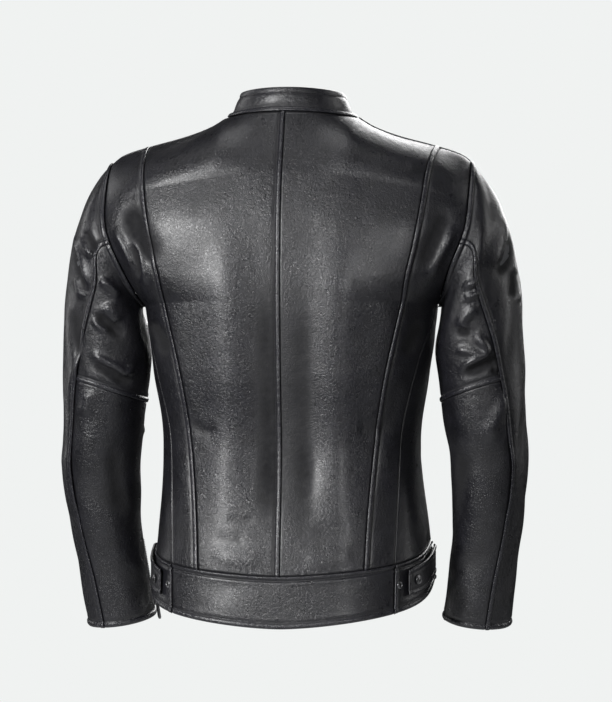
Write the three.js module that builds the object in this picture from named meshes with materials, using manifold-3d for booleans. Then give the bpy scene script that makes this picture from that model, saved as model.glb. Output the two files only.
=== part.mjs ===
// A leather riding jacket with a stand collar, as the sewn panels, linings, pads, zips and snaps that it is made of.
//
// Millimetres, +Z up. The back of the jacket faces -Y and its front +Y, so the wearer's right side is +X.
// Everything is drawn round the body's own axis, with z = 0 at the centre-back neck point. The whole is then
// moved so that the origin is the crown of the hanger loop, which carries the jacket.
import * as THREE from "three";
import Module from "manifold-3d";

const wasm = await Module();
wasm.setup();

// ---------------------------------------------------------------- driving dimensions
const LEATHER = 2.0; // thickness of a panel with its turned edges
const BAND_LEATHER = 2.6; // the doubled waistband
const SEAM_GAP = 0.8; // between two panels along a seam
const ARMHOLE_INSET = 0.6 * LEATHER; // from a panel's edge to the armhole seam, where the leather turns a corner
const SHOULDER_INSET = 0.25; // from a panel's top edge to the shoulder seam or neckline
const LINING_DEPTH = 11.0; // from the outer leather to the face of the lining
const LINING = 1.2;
const SLEEVE_LINING_DEPTH = 10.0;
const PAD_DEPTH = LEATHER + 1.2; // from the outer leather to the outside of an armour pad
const PAD = 4.8;
const ELBOW_PAD_DEPTH = LEATHER + 2.2; // deeper, because the elbow seam bends over it

// Heights on the centre back, measured down from the neck point.
const BACK_LENGTH = 655;
const BAND_HEIGHT = 67;
const PIT_DEPTH = 240; // height of the row that ends at the bottom of the armhole
const YOKE_DEPTH = 75; // below this the back hangs, above it the leather turns over the shoulder

// The front closes on a straight zip, which leans back towards the neck.
const FRONT_NECK_Y = 78;
const FRONT_NECK_Z = -62;
const FRONT_HEM_Z = -600;
const FRONT_LEAN = THREE.MathUtils.degToRad(5);

// Neckline and stand collar.
const NAPE_Y = -70;
const NECK_HALF_WIDTH = 86;
const NECK_SIDE_Z = -6;
const COLLAR_HEIGHT = 33;
const COLLAR_LEAN = 21; // how far the top edge stands inside the neckline at the side
const COLLAR_WALL = 2.2;
const COLLAR_FACING = 1.4;

// Zips: one chain and slider size everywhere.
const CHAIN_WIDTH = 6;
const CHAIN_THICK = 2.6;
const TAPE_WIDTH = 13;
const TAPE_THICK = 0.8;
const FRONT_GAP = 11; // between the two front edges
const SLIDER_LENGTH = 12;
const SLIDER_WIDTH = 9.6;
const SLIDER_CLEARANCE = 0.4;
const PULL_LENGTH = 27;
const PULL_WIDTH = 8;
const PULL_THICK = 1.6;
const POCKET_ZIP = 140;
const CUFF_ZIP = 92;

// Waist adjusters.
const TAB_WIDTH = 36;
const TAB_THICK = 3;
const TAB_LIFT = 2.4; // the tab lies this far above the band
const SNAP_RADIUS = 6;
const SNAP_HEIGHT = 1.8;
const STUD_RADIUS = 4.6;

const X = new THREE.Vector3(1, 0, 0);
const Y = new THREE.Vector3(0, 1, 0);
const V = (x, y, z) => new THREE.Vector3(x, y, z);
const { lerp, clamp, smoothstep, degToRad } = THREE.MathUtils;

// ---------------------------------------------------------------- curves

/** A monotone cubic through (stations, sizes), so that no dimension overshoots between its stations. */
function profile(stations, sizes) {
  const rising = stations[0] < stations.at(-1);
  const [knots, values] = rising ? [stations, sizes] : [stations.toReversed(), sizes.toReversed()];
  const n = knots.length;
  const slope = knots.slice(1).map((k, i) => (values[i + 1] - values[i]) / (k - knots[i]));
  const tangent = knots.map((_, i) => {
    if (i === 0) return slope[0];
    if (i === n - 1) return slope[n - 2];
    const [a, b] = [slope[i - 1], slope[i]];
    return a * b <= 0 ? 0 : (2 * a * b) / (a + b);
  });
  return (at) => {
    let i = 0;
    while (i < n - 2 && at > knots[i + 1]) i += 1;
    const h = knots[i + 1] - knots[i];
    const u = clamp((at - knots[i]) / h, 0, 1);
    const u2 = u * u;
    const u3 = u2 * u;
    return (
      (2 * u3 - 3 * u2 + 1) * values[i] +
      (u3 - 2 * u2 + u) * h * tangent[i] +
      (3 * u2 - 2 * u3) * values[i + 1] +
      (u3 - u2) * h * tangent[i + 1]
    );
  };
}

// Rows of the torso are counted by t, the height on the centre back: 0 at the hem and 1 at the neck.
const heightShare = (depth) => 1 - depth / BACK_LENGTH;
const T_BAND = heightShare(BACK_LENGTH - BAND_HEIGHT);
const T_PIT = heightShare(PIT_DEPTH);
const T_YOKE = heightShare(YOKE_DEPTH);
const ROWS = [0, T_BAND, heightShare(425), heightShare(325), T_PIT, heightShare(150), T_YOKE, 1];

const backY = profile(ROWS, [-128, -124, -106, -117, -122, -119, -103, NAPE_Y]);
const frontZ = profile(ROWS, [FRONT_HEM_Z, -552, -425, -325, -240, -165, -112, FRONT_NECK_Z]);
const centreBack = (t) => V(0, backY(t), -BACK_LENGTH * (1 - t));
const centreFront = (t) => V(0, FRONT_NECK_Y + (FRONT_NECK_Z - frontZ(t)) * Math.tan(FRONT_LEAN), frontZ(t));

// The side line of the body from the hem to the bottom of the armhole. Above it the side line is only a guide:
// each row stops where it meets the armhole, so its reach there says how wide the back and the chest are.
const SIDE_ROWS = ROWS.slice(0, 5);
const PIT_ROWS = [T_PIT, heightShare(205), heightShare(120), T_YOKE];
const sideX = profile(SIDE_ROWS, [180, 175, 164, 177, 188]);
const backReach = profile(PIT_ROWS, [188, 230, 258, 259]);
const frontReach = profile(PIT_ROWS, [188, 210, 246, 250]);
const sideY = profile(SIDE_ROWS, [34, 26, 4, 2, 4]);
const sideZ = profile([...SIDE_ROWS, ...PIT_ROWS.slice(1)], [-596, -545, -420, -325, -245, -215, -185, -170]);
const BOXINESS = 0.1; // how much fuller a row is at its corner than an ellipse

// The armhole seam, from the shoulder point round the back to the underarm and up the front.
const ARMHOLE = new THREE.CatmullRomCurve3(
  [
    V(230, 0, -62),
    V(233, -46, -94),
    V(229, -75, -150),
    V(209, -70, -200),
    V(189, 4, -245),
    V(197, 56, -214),
    V(202, 66, -168),
    V(217, 50, -102),
  ],
  true,
);
const SECTOR = Math.PI / 12; // the torso and the sleeve meet at the armhole at multiples of this angle
const armhole = (angle) => ARMHOLE.getPoint((((angle / (2 * Math.PI)) % 1) + 1) % 1);

/** Where the row t meets the armhole: 0 at the shoulder point, pi at the underarm. */
const armholeAngle = (t) => Math.acos(clamp((2 * (t - T_PIT)) / (1 - T_PIT) - 1, -1, 1));

/** The neckline, by the angle round the neck from the nape. */
function neckline(angle) {
  const depth = (FRONT_NECK_Y - NAPE_Y) / 2;
  const back = Math.cos(angle) > 0;
  const z = back
    ? NECK_SIDE_Z * Math.sin(angle) ** 2
    : NECK_SIDE_Z - (NECK_SIDE_Z - FRONT_NECK_Z) * Math.cos(angle) ** 2;
  return V(NECK_HALF_WIDTH * Math.sin(angle), NAPE_Y + depth * (1 - Math.cos(angle)), z);
}

// A row's columns are counted by s: 0 at its centre line and 1 at its side or armhole end.
const S_NECK = 0.36; // the column that ends at the side of the neck
const ROW_RISE = 1.7; // how late a row starts to climb or fall towards its side end

/** The height of the shoulder seam by the share of the way from the neck to the shoulder point. */
const shoulderZ = profile([0, 0.13, 0.34, 0.67, 0.92, 1], [NECK_SIDE_Z, -17, -29, -42, -54, -62]);

/** The top edge of the back or the front: half a neckline, then the shoulder seam. */
function topEdge(s, front) {
  if (s < S_NECK) {
    const quarter = ((s / S_NECK) * Math.PI) / 2;
    return neckline(front ? Math.PI - quarter : quarter);
  }
  const u = (s - S_NECK) / (1 - S_NECK);
  const [neck, tip] = [neckline(Math.PI / 2), armhole(0)];
  return V(lerp(neck.x, tip.x, u), lerp(neck.y, tip.y, u), shoulderZ(u));
}

/** The share of the depth and of the width that a row has at an angle from its centre line. */
const fullness = (angle) => 1 + BOXINESS * Math.sin(2 * angle) ** 2;

/** A row by the angle from its centre line, as far as its side line. */
function wholeRow(angle, t, front) {
  const centre = front ? centreFront(t) : centreBack(t);
  const reach = front ? frontReach(t) : backReach(t);
  const side = V(t <= T_PIT ? sideX(t) : reach, t <= T_PIT ? sideY(t) : sideY(T_PIT), sideZ(t));
  return V(
    side.x * Math.sin(angle) * fullness(angle),
    side.y + (centre.y - side.y) * Math.cos(angle) * fullness(angle),
    lerp(centre.z, side.z, (angle / (Math.PI / 2)) ** ROW_RISE),
  );
}

/** The angle at which a row meets the armhole. */
function armholeCut(seam, t, front) {
  let [low, high] = [0.3, Math.PI / 2];
  const forwards = front ? 1 : -1;
  for (let i = 0; i < 18; i += 1) {
    const middle = (low + high) / 2;
    if (wholeRow(middle, t, front).y * forwards > seam.y * forwards) low = middle;
    else high = middle;
  }
  return low;
}

/** A point of the hanging part of the torso, s being the share of the way along the row's leather. */
function hangingRow(s, t, front) {
  if (t <= T_PIT) return wholeRow((s * Math.PI) / 2, t, front);
  const angle = armholeAngle(t);
  const seam = armhole(front ? -angle : angle);
  const cut = armholeCut(seam, t, front);
  const miss = seam.sub(wholeRow(cut, t, front));
  return wholeRow(s * cut, t, front).addScaledVector(miss, s ** 4);
}

/** A point of the right half of the torso. Above the yoke row the leather turns over onto the shoulder seam. */
function halfTorso(s, t, front) {
  if (t <= T_YOKE) return hangingRow(s, t, front);
  const u = (t - T_YOKE) / (1 - T_YOKE);
  const [low, top] = [hangingRow(s, T_YOKE, front), topEdge(s, front)];
  const round = smoothstep(s, 0, S_NECK);
  const forward = lerp(u, 1 - Math.cos((u * Math.PI) / 2), round);
  const upward = lerp(u, Math.sin((u * Math.PI) / 2), round);
  const p = V(lerp(low.x, top.x, u), lerp(low.y, top.y, forward), lerp(low.z, top.z, upward));
  // the column that ends on the armhole follows it exactly
  const [lowEnd, tip] = [hangingRow(1, T_YOKE, front), topEdge(1, front)];
  const plain = V(
    lerp(lowEnd.x, tip.x, u),
    lerp(lowEnd.y, tip.y, 1 - Math.cos((u * Math.PI) / 2)),
    lerp(lowEnd.z, tip.z, Math.sin((u * Math.PI) / 2)),
  );
  const edge = armhole(front ? -armholeAngle(t) : armholeAngle(t));
  return p.addScaledVector(edge.sub(plain), s ** 4);
}

/** The torso by phi: 0 at the centre back, 1 at the side, 2 at the centre front. */
const torso = (phi, t) => (phi <= 1 ? halfTorso(phi, t, false) : halfTorso(2 - phi, t, true));

/** The column that a front edge follows, a fixed distance from the middle. */
function columnAt(x, t, front) {
  let [low, high] = [0, 1];
  for (let i = 0; i < 24; i += 1) {
    const middle = (low + high) / 2;
    if (halfTorso(middle, t, front).x < x) low = middle;
    else high = middle;
  }
  return low;
}

/** The column of a seam, given how far it lies from the middle at a few depths down the back. */
function seamColumn(depths, distances, front) {
  const distance = profile(depths, distances);
  const known = new Map();
  return (t) => {
    if (!known.has(t)) known.set(t, columnAt(distance(BACK_LENGTH * (1 - t)), t, front));
    return known.get(t);
  };
}

// The princess seam curves in from the shoulder to the waist, then drops straight.
const PRINCESS_DEPTHS = [655, 588, 520, 460, 395, 330, 285, 240, 205, 160, 110, 75, 35, 2];
const PRINCESS_X = [104, 106, 109, 113, 120, 131, 141, 151, 158, 167, 174, 178, 182, 184];
const princess = seamColumn(PRINCESS_DEPTHS, PRINCESS_X, false);
const sideSeam = seamColumn([655, 588, 520, 425, 325, 262, 241], [141, 142, 144, 147, 167, 184, 187], false);

// ---------------------------------------------------------------- sleeve

// Stations of the sleeve from the armhole to the cuff: the ring's centre, its half width across the arm, its half
// depth from front to back, how far its outer side is tipped up, and how far the arm leans forward there.
const SLEEVE_ROWS = [0, 0.13, 0.25, 0.38, 0.5, 0.62, 0.75, 0.88, 1];
const sleeveX = profile(SLEEVE_ROWS, [230, 236, 238, 242, 246, 251, 248, 240, 231]);
const sleeveY = profile(SLEEVE_ROWS, [-4, 0, 4, 10, 17, 27, 40, 54, 68]);
const sleeveZ = profile(SLEEVE_ROWS, [-165, -199, -252, -318, -386, -450, -518, -586, -650]);
const sleeveWidth = profile(SLEEVE_ROWS, [80, 72, 66, 57, 52.5, 50, 45.5, 43, 44]);
const sleeveDepth = profile(SLEEVE_ROWS, [76, 76, 72, 67, 62, 57, 52, 49, 50]);
const sleeveTip = profile(SLEEVE_ROWS, [1.1, 0.92, 0.66, 0.24, 0.03, 0, -0.06, -0.1, -0.12]);
const sleeveLean = profile(SLEEVE_ROWS, [0, 0.03, 0.06, 0.09, 0.12, 0.16, 0.18, 0.19, 0.19]);
const ARMHOLE_BLEND = 0.2;
const SLEEVE_BULGE = 12; // how far the sleeve first stands out at the front and back of the armhole

/** The right sleeve by the angle round the arm, 0 outwards and pi/2 to the back, and t from armhole to cuff. */
function sleeve(angle, t) {
  const [tip, lean] = [sleeveTip(t), sleeveLean(t)];
  const outwards = V(Math.cos(tip), 0, Math.sin(tip));
  const backwards = V(0, -Math.cos(lean), -Math.sin(lean));
  const ring = V(sleeveX(t), sleeveY(t), sleeveZ(t))
    .addScaledVector(outwards, sleeveWidth(t) * Math.cos(angle))
    .addScaledVector(backwards, sleeveDepth(t) * Math.sin(angle));
  const share = clamp(t / ARMHOLE_BLEND, 0, 1);
  const bulge = SLEEVE_BULGE * Math.sin(angle) ** 2 * 6.75 * share * (1 - share) ** 2;
  return armhole(angle).lerp(ring, 1 - (1 - share) ** 2).addScaledVector(X, bulge);
}

const backSleeveSeam = profile([0, 0.25, 0.38, 0.5, 0.62, 0.8, 0.9, 1], [7 * SECTOR, 1.33, 1.07, 0.9, 0.88, 1.04, 1.16, 1.22]);
const frontSleeveSeam = profile([0, 0.3, 1], [16 * SECTOR, 4.4, 4.3]);
const ELBOW = 0.475; // the elbow seam where it leaves the inside of the arm
const ELBOW_RISE = 0.055; // and how much higher it meets the back seam

// ---------------------------------------------------------------- solids

/** The numbers from one to another in equal steps, both ends included. */
const spaced = (from, to, steps) => Array.from({ length: steps + 1 }, (_, i) => lerp(from, to, i / steps));

/**
 * A closed shell over surface(u, v), between two offsets along its outward normal, with its corners at the listed
 * values of u and v. inside is a point on the hollow side. A tube is closed in u, an open ring of wall.
 */
function shell(surface, inside, { us, vs, outer = 0, inner, tube = false }) {
  const step = 1e-3;
  const [lowU, highU, lowV, highV] = [us[0], us.at(-1), vs[0], vs.at(-1)];
  const at = (u, v) => surface(tube ? u : clamp(u, lowU, highU), clamp(v, lowV, highV));
  const normal = (u, v) => {
    const du = at(u + step, v).sub(at(u - step, v));
    const dv = at(u, v + step).sub(at(u, v - step));
    return du.cross(dv).normalize();
  };
  const [middleU, middleV] = [(lowU + highU) / 2, (lowV + highV) / 2];
  const side = Math.sign(normal(middleU, middleV).dot(at(middleU, middleV).sub(inside)));
  const cols = us.length - 1;
  const rows = vs.length - 1;
  const across = tube ? cols : cols + 1;
  const points = [];
  for (const offset of [outer, inner])
    for (const v of vs)
      for (const u of us.slice(0, across)) points.push(at(u, v).addScaledVector(normal(u, v), side * offset));
  const layer = across * (rows + 1);
  const index = (i, j, k) => k * layer + j * across + (i % across);
  const faces = [];
  const quad = (a, b, c, d) => faces.push(a, b, c, a, c, d);
  for (let j = 0; j < rows; j += 1)
    for (let i = 0; i < cols; i += 1) {
      quad(index(i, j, 0), index(i + 1, j, 0), index(i + 1, j + 1, 0), index(i, j + 1, 0));
      quad(index(i, j + 1, 1), index(i + 1, j + 1, 1), index(i + 1, j, 1), index(i, j, 1));
    }
  for (let i = 0; i < cols; i += 1) {
    quad(index(i, 0, 1), index(i + 1, 0, 1), index(i + 1, 0, 0), index(i, 0, 0));
    quad(index(i, rows, 0), index(i + 1, rows, 0), index(i + 1, rows, 1), index(i, rows, 1));
  }
  if (!tube)
    for (let j = 0; j < rows; j += 1) {
      quad(index(0, j, 0), index(0, j + 1, 0), index(0, j + 1, 1), index(0, j, 1));
      quad(index(cols, j, 1), index(cols, j + 1, 1), index(cols, j + 1, 0), index(cols, j, 0));
    }
  if (side < 0) for (let i = 0; i < faces.length; i += 3) [faces[i], faces[i + 1]] = [faces[i + 1], faces[i]];
  const geometry = new THREE.BufferGeometry();
  geometry.setAttribute("position", new THREE.Float32BufferAttribute(points.flatMap((p) => [p.x, p.y, p.z]), 3));
  geometry.setIndex(faces);
  return geometry;
}

/** The mirror image of a surface on the wearer's left. */
const mirrored = (surface, side) => (u, v) => {
  const p = surface(u, v);
  p.x *= side;
  return p;
};

const solidOf = (geometry) => {
  const position = geometry.getAttribute("position");
  return new wasm.Manifold(
    new wasm.Mesh({
      numProp: 3,
      vertProperties: new Float32Array(position.array),
      triVerts: new Uint32Array(geometry.index.array),
    }),
  );
};

function geometryOf(solid) {
  const mesh = solid.getMesh();
  const geometry = new THREE.BufferGeometry();
  geometry.setAttribute("position", new THREE.BufferAttribute(mesh.vertProperties, 3));
  geometry.setIndex(new THREE.BufferAttribute(mesh.triVerts, 1));
  return geometry;
}

/** A block from its low corner to its high corner, as welded triangles. */
function block(low, high) {
  const corners = [0, 1, 2, 3, 4, 5, 6, 7].map((i) =>
    V(i & 1 ? high.x : low.x, i & 2 ? high.y : low.y, i & 4 ? high.z : low.z),
  );
  const faces = [0, 2, 1, 1, 2, 3, 4, 5, 6, 5, 7, 6, 0, 1, 4, 1, 5, 4, 2, 6, 3, 3, 6, 7, 0, 4, 2, 2, 4, 6, 1, 3, 5, 3, 7, 5];
  const geometry = new THREE.BufferGeometry();
  geometry.setAttribute("position", new THREE.Float32BufferAttribute(corners.flatMap((p) => [p.x, p.y, p.z]), 3));
  geometry.setIndex(faces);
  return geometry;
}

// ---------------------------------------------------------------- materials and the scene graph

const material = (color, roughness, metalness) => new THREE.MeshStandardMaterial({ color, roughness, metalness });
const MATERIALS = {
  leather: material(0x26262a, 0.42, 0),
  lining: material(0x17181b, 0.85, 0),
  pad: material(0x3c3f45, 0.8, 0),
  tape: material(0x101114, 0.9, 0),
  metal: material(0x3a3b3e, 0.35, 1),
};

const HANGER = V(0, NAPE_Y + 20, -3); // the crown of the hanger loop
const jacket = new THREE.Group();
const garment = new THREE.Group();
garment.position.copy(HANGER).negate();
jacket.add(garment);

function add(name, geometry, finish, parent = garment) {
  const mesh = new THREE.Mesh(geometry, MATERIALS[finish]);
  mesh.name = name;
  parent.add(mesh);
  return mesh;
}

const SIDES = [
  ["left", -1],
  ["right", 1],
];
const TORSO_INSIDE = V(0, 0, -330);

// ---------------------------------------------------------------- torso and waistband

/** A patch of the torso between two columns, each a function of t; u runs from 0 to 1, and v is t. */
function torsoPatch(from, to, side, inset = [SEAM_GAP / 2, SEAM_GAP / 2]) {
  return mirrored((u, t) => {
    const [start, end] = [from(t), to(t)];
    const width = torso(start, t).distanceTo(torso(end, t)) + 1;
    return torso(lerp(start, end, lerp(inset[0] / width, 1 - inset[1] / width, u)), t);
  }, side);
}

const ROW_GAP = SEAM_GAP / 2 / BACK_LENGTH;
const TOP_ROW = 1 - SHOULDER_INSET / BACK_LENGTH;
const armholeRow = (k) => T_PIT + ((1 - T_PIT) * (1 + Math.cos(k * SECTOR))) / 2;
const PANEL_ROWS = [
  ...spaced(T_BAND + ROW_GAP, T_PIT, 9).slice(0, -1),
  ...spaced(12, 1, 11).map(armholeRow),
  TOP_ROW,
];
const sideEnd = (t) => (t < T_PIT ? sideSeam(t) : 1);
const frontEdge = (t) => 2 - columnAt(FRONT_GAP / 2, t, true);
const BACK_COLUMNS = 6; // from the centre back to the princess seam
const SIDE_COLUMNS = 5; // from there to the side seam or armhole
const FRONT_COLUMNS = 10;

for (const [word, side] of SIDES) {
  const inside = TORSO_INSIDE.clone().setX(side * 20);
  const panel = (name, from, to, columns, inset) => {
    const grid = { us: spaced(0, 1, columns), vs: PANEL_ROWS, inner: -LEATHER };
    add(`${name}_${word}`, shell(torsoPatch(from, to, side, inset), inside, grid), "leather");
  };
  const seam = SEAM_GAP / 2;
  panel("back_panel", () => 0, princess, BACK_COLUMNS, [seam, seam]);
  panel("side_back_panel", princess, sideEnd, SIDE_COLUMNS, [seam, ARMHOLE_INSET]);
  panel("front_panel", sideEnd, frontEdge, FRONT_COLUMNS, [ARMHOLE_INSET, 0]);
}

const bandGrid = { vs: spaced(0, T_BAND - ROW_GAP, 2), outer: 0.4, inner: 0.4 - BAND_LEATHER };

/** The back of the band by u: the princess seams are at 1 and -1, and the side seams at 2 and -2. */
function bandBack(u, t) {
  const [inner, outer] = [princess(t), sideSeam(t) - bandInset];
  const phi = Math.abs(u) <= 1 ? inner * Math.abs(u) : lerp(inner, outer, Math.abs(u) - 1);
  const p = torso(phi, t);
  p.x *= Math.sign(u) || 1;
  return p;
}
const bandInset = SEAM_GAP / 2 / 280; // the band's arc is about 280 long for each unit of phi
const bandColumns = [
  ...spaced(-2, -1, SIDE_COLUMNS).slice(0, -1),
  ...spaced(-1, 1, 2 * BACK_COLUMNS),
  ...spaced(1, 2, SIDE_COLUMNS).slice(1),
];
add("waistband_back", shell(bandBack, TORSO_INSIDE, { us: bandColumns, ...bandGrid }), "leather");
for (const [word, side] of SIDES) {
  const surface = torsoPatch(sideSeam, frontEdge, side, [SEAM_GAP / 2, 0]);
  const grid = { us: spaced(0, 1, FRONT_COLUMNS), ...bandGrid };
  add(`waistband_front_${word}`, shell(surface, TORSO_INSIDE, grid), "leather");
}

// ---------------------------------------------------------------- collar

/** The collar by the angle round the neck and the share of its height: it flares at its foot, then stands. */
function collar(angle, v) {
  const foot = neckline(angle);
  const centreY = (FRONT_NECK_Y + NAPE_Y) / 2;
  const centre = V(0, centreY, 0);
  const out = V(foot.x, foot.y - centreY, 0).normalize();
  const flare = COLLAR_LEAN * v ** 0.62 * (0.75 - 0.25 * Math.cos(angle * 2));
  const frontShare = (1 - Math.cos(angle)) / 2;
  const p = foot.clone().addScaledVector(out, -flare);
  // the front edges stay on the line of the zip
  const rise = COLLAR_HEIGHT * v;
  const zipY = FRONT_NECK_Y - rise * Math.tan(FRONT_LEAN);
  const nearZip = smoothstep(frontShare, 0.5, 1);
  p.y = lerp(p.y, centre.y + (zipY - centreY) * -Math.cos(angle), nearZip);
  p.x = lerp(p.x, foot.x, nearZip);
  p.z = foot.z + rise;
  return p;
}

const COLLAR_INSIDE = V(0, 4, -10);
const collarEdgeAngle = Math.PI - Math.asin(FRONT_GAP / 2 / NECK_HALF_WIDTH);
const COLLAR_FOOT = 0.07; // the share of its height at which the collar's leather starts
const collarGrid = { us: spaced(-collarEdgeAngle, collarEdgeAngle, 40), vs: spaced(COLLAR_FOOT, 1, 3) };
const facingDepth = COLLAR_WALL + 0.9;
add("collar_outer", shell(collar, COLLAR_INSIDE, { ...collarGrid, inner: -COLLAR_WALL }), "leather");
add(
  "collar_facing",
  shell(collar, COLLAR_INSIDE, { ...collarGrid, outer: -facingDepth, inner: -facingDepth - COLLAR_FACING }),
  "leather",
);

// ---------------------------------------------------------------- sleeves

const HALF_SEAM_ANGLE = 0.008;
const ELBOW_GAP = 0.0012; // half the elbow seam's gap, in t
const elbowRow = (angle) => {
  const across = clamp((Math.PI - angle) / (Math.PI - backSleeveSeam(ELBOW)), -0.4, 1);
  return ELBOW - ELBOW_RISE * smoothstep(across, -0.4, 1);
};

/** The t at which the sleeve's leather starts, a fixed distance from the armhole seam. */
function sleeveTop(angle) {
  const seam = armhole(angle);
  let [low, high] = [0, ARMHOLE_BLEND];
  for (let i = 0; i < 20; i += 1) {
    const middle = (low + high) / 2;
    if (sleeve(angle, middle).distanceTo(seam) < ARMHOLE_INSET) low = middle;
    else high = middle;
  }
  return high;
}

/**
 * A sleeve panel between two seams, each an angle for every t, and two rows, each a t for every angle. ends are the
 * rows' own places along the arm, where the seams' angles are read for them.
 */
const sleevePatch = (seams, rows, side, ends) =>
  mirrored((u, v) => {
    const [from, to] = rows.map((row, k) => row(lerp(seams[0](ends[k]), seams[1](ends[k]), u)));
    const t = lerp(from, to, v);
    return sleeve(lerp(seams[0](t) + HALF_SEAM_ANGLE, seams[1](t) - HALF_SEAM_ANGLE, u), t);
  }, side);

const CAP_ROWS = [0, 0.022, 0.048, 0.078, 0.112, 0.15, 0.195, 0.25, 0.31, 0.37, 0.43];
const LINING_ROWS = [0.12, 0.15, 0.195, 0.25, 0.31, 0.37, ...spaced(0.43, 0.92, 7)];
const TOP_ROWS = [...CAP_ROWS, ...spaced(0.49, 1, 9)];
const UPPER_ROWS = CAP_ROWS.map((t) => t / CAP_ROWS.at(-1));
const frontSeamBehind = (t) => frontSleeveSeam(t) - 2 * Math.PI;

for (const [word, side] of SIDES) {
  const inside = V(side * 246, 18, -390);
  const panel = (name, seams, rows, ends, hollow, us, vs) => {
    const grid = { us, vs, inner: -LEATHER };
    add(`${name}_${word}`, shell(sleevePatch(seams, rows, side, ends), hollow, grid), "leather");
  };
  const under = [backSleeveSeam, frontSleeveSeam];
  const [topColumns, underColumns] = [spaced(0, 1, 15), spaced(0, 1, 9)];
  panel("sleeve_top", [frontSeamBehind, backSleeveSeam], [sleeveTop, () => 1], [0, 1], inside, topColumns, TOP_ROWS);
  const upperInside = V(side * 238, 4, -250);
  const elbowAbove = (angle) => elbowRow(angle) - ELBOW_GAP;
  const elbowBelow = (angle) => elbowRow(angle) + ELBOW_GAP;
  panel("sleeve_under_upper", under, [sleeveTop, elbowAbove], [0, ELBOW], upperInside, underColumns, UPPER_ROWS);
  panel("sleeve_under_lower", under, [elbowBelow, () => 1], [ELBOW, 1], inside, underColumns, spaced(0, 1, 9));
  const whole = spaced(0, 2 * Math.PI, 24);
  const round = mirrored(sleeve, side);
  const facing = { us: whole, vs: spaced(0.93, 0.998, 2), outer: -LEATHER - 1, inner: -LEATHER - 2.4, tube: true };
  add(`cuff_facing_${word}`, shell(round, V(side * 236, 62, -632), facing), "leather");
  const lining = { us: whole, vs: LINING_ROWS, outer: -SLEEVE_LINING_DEPTH, tube: true };
  add(
    `sleeve_lining_${word}`,
    shell(round, inside, { ...lining, inner: -SLEEVE_LINING_DEPTH - LINING }),
    "lining",
  );
  const pad = { outer: -PAD_DEPTH, inner: -PAD_DEPTH - PAD };
  const shoulder = { us: spaced(-0.75, 0.85, 8), vs: spaced(0.055, 0.21, 6), ...pad };
  add(`shoulder_pad_${word}`, shell(round, V(side * 236, 0, -186), shoulder), "pad");
  const elbowDepths = { outer: -ELBOW_PAD_DEPTH, inner: -ELBOW_PAD_DEPTH - PAD };
  const elbow = { us: spaced(0.7, 2.3, 10), vs: spaced(0.4, 0.62, 7), ...elbowDepths };
  add(`elbow_pad_${word}`, shell(round, V(side * 250, 17, -385), elbow), "pad");
}

// ---------------------------------------------------------------- body lining and back protector

const LINING_GAP = 0.006; // half the gap where the back and front linings meet, in phi
const LINING_SINK = 0.02; // how far the lining reaches down behind the waistband, in t
const LINING_TOP = 0.925;
const LINING_ROWS_DOWN = [...spaced(T_BAND - LINING_SINK, T_PIT, 8).slice(0, -1), ...spaced(T_PIT, LINING_TOP, 7)];
const FACING_WIDTH = 22; // the leather facing beside the front zip, where the lining stops
const liningSide = (t) => lerp(1, 0.93, smoothstep(t, T_PIT - 0.02, T_PIT + 0.02));
const liningEdge = (t) => 2 - columnAt(FRONT_GAP / 2 + FACING_WIDTH, t, true);
const liningSkin = { vs: LINING_ROWS_DOWN, outer: -LINING_DEPTH, inner: -LINING_DEPTH - LINING };

/** The back of the torso by u from -1 to 1, as wide on each side as reach(t) says. */
const backSheet = (reach) => (u, t) => {
  const p = torso(Math.abs(u) * reach(t), t);
  p.x *= Math.sign(u) || 1;
  return p;
};
const liningBack = backSheet((t) => liningSide(t) - LINING_GAP);
add("body_lining_back", shell(liningBack, TORSO_INSIDE, { us: spaced(-1, 1, 24), ...liningSkin }), "lining");
for (const [word, side] of SIDES) {
  const front = torsoPatch((t) => 2 - liningSide(t) + LINING_GAP, liningEdge, side, [0, 0]);
  const grid = { us: spaced(0, 1, 10), ...liningSkin };
  add(`body_lining_front_${word}`, shell(front, TORSO_INSIDE, grid), "lining");
}
const PROTECTOR_REACH = 0.42;
const protectorGrid = {
  us: spaced(-1, 1, 12),
  vs: spaced(heightShare(455), heightShare(95), 12),
  outer: -PAD_DEPTH - 0.6,
  inner: -PAD_DEPTH - 0.6 - PAD,
};
add("back_protector", shell(backSheet(() => PROTECTOR_REACH), TORSO_INSIDE, protectorGrid), "pad");

// ---------------------------------------------------------------- zips

/**
 * The frame of a straight zip from low to high: a group whose Z runs up the chain, whose Y points out of the
 * garment and whose origin lies on the leather at the chain's lower end.
 */
function zipFrame(low, high, outwards) {
  const along = high.clone().sub(low).normalize();
  const out = outwards.clone().addScaledVector(along, -outwards.dot(along)).normalize();
  const across = out.clone().cross(along);
  const group = new THREE.Group();
  group.matrix.makeBasis(across, out, along).setPosition(low);
  group.matrix.decompose(group.position, group.quaternion, group.scale);
  garment.add(group);
  return group;
}

// Heights above the leather, in a zip's own frame.
const CHAIN_FOOT = -1.2;
const CHAIN_TOP = CHAIN_FOOT + CHAIN_THICK;
const SLIDER_FOOT = CHAIN_FOOT + TAPE_THICK;
const SLIDER_TOP = CHAIN_TOP + 2.2;
const BAR_HEIGHT = SLIDER_TOP + 1.3; // the axis of the pull's crossbar
const BRIDGE_INNER = 3.2;
const BRIDGE_WALL = 1.6;
const BRIDGE_WIDTH = 2.4;
const BRIDGE_CLEARANCE = 0.5;

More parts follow.
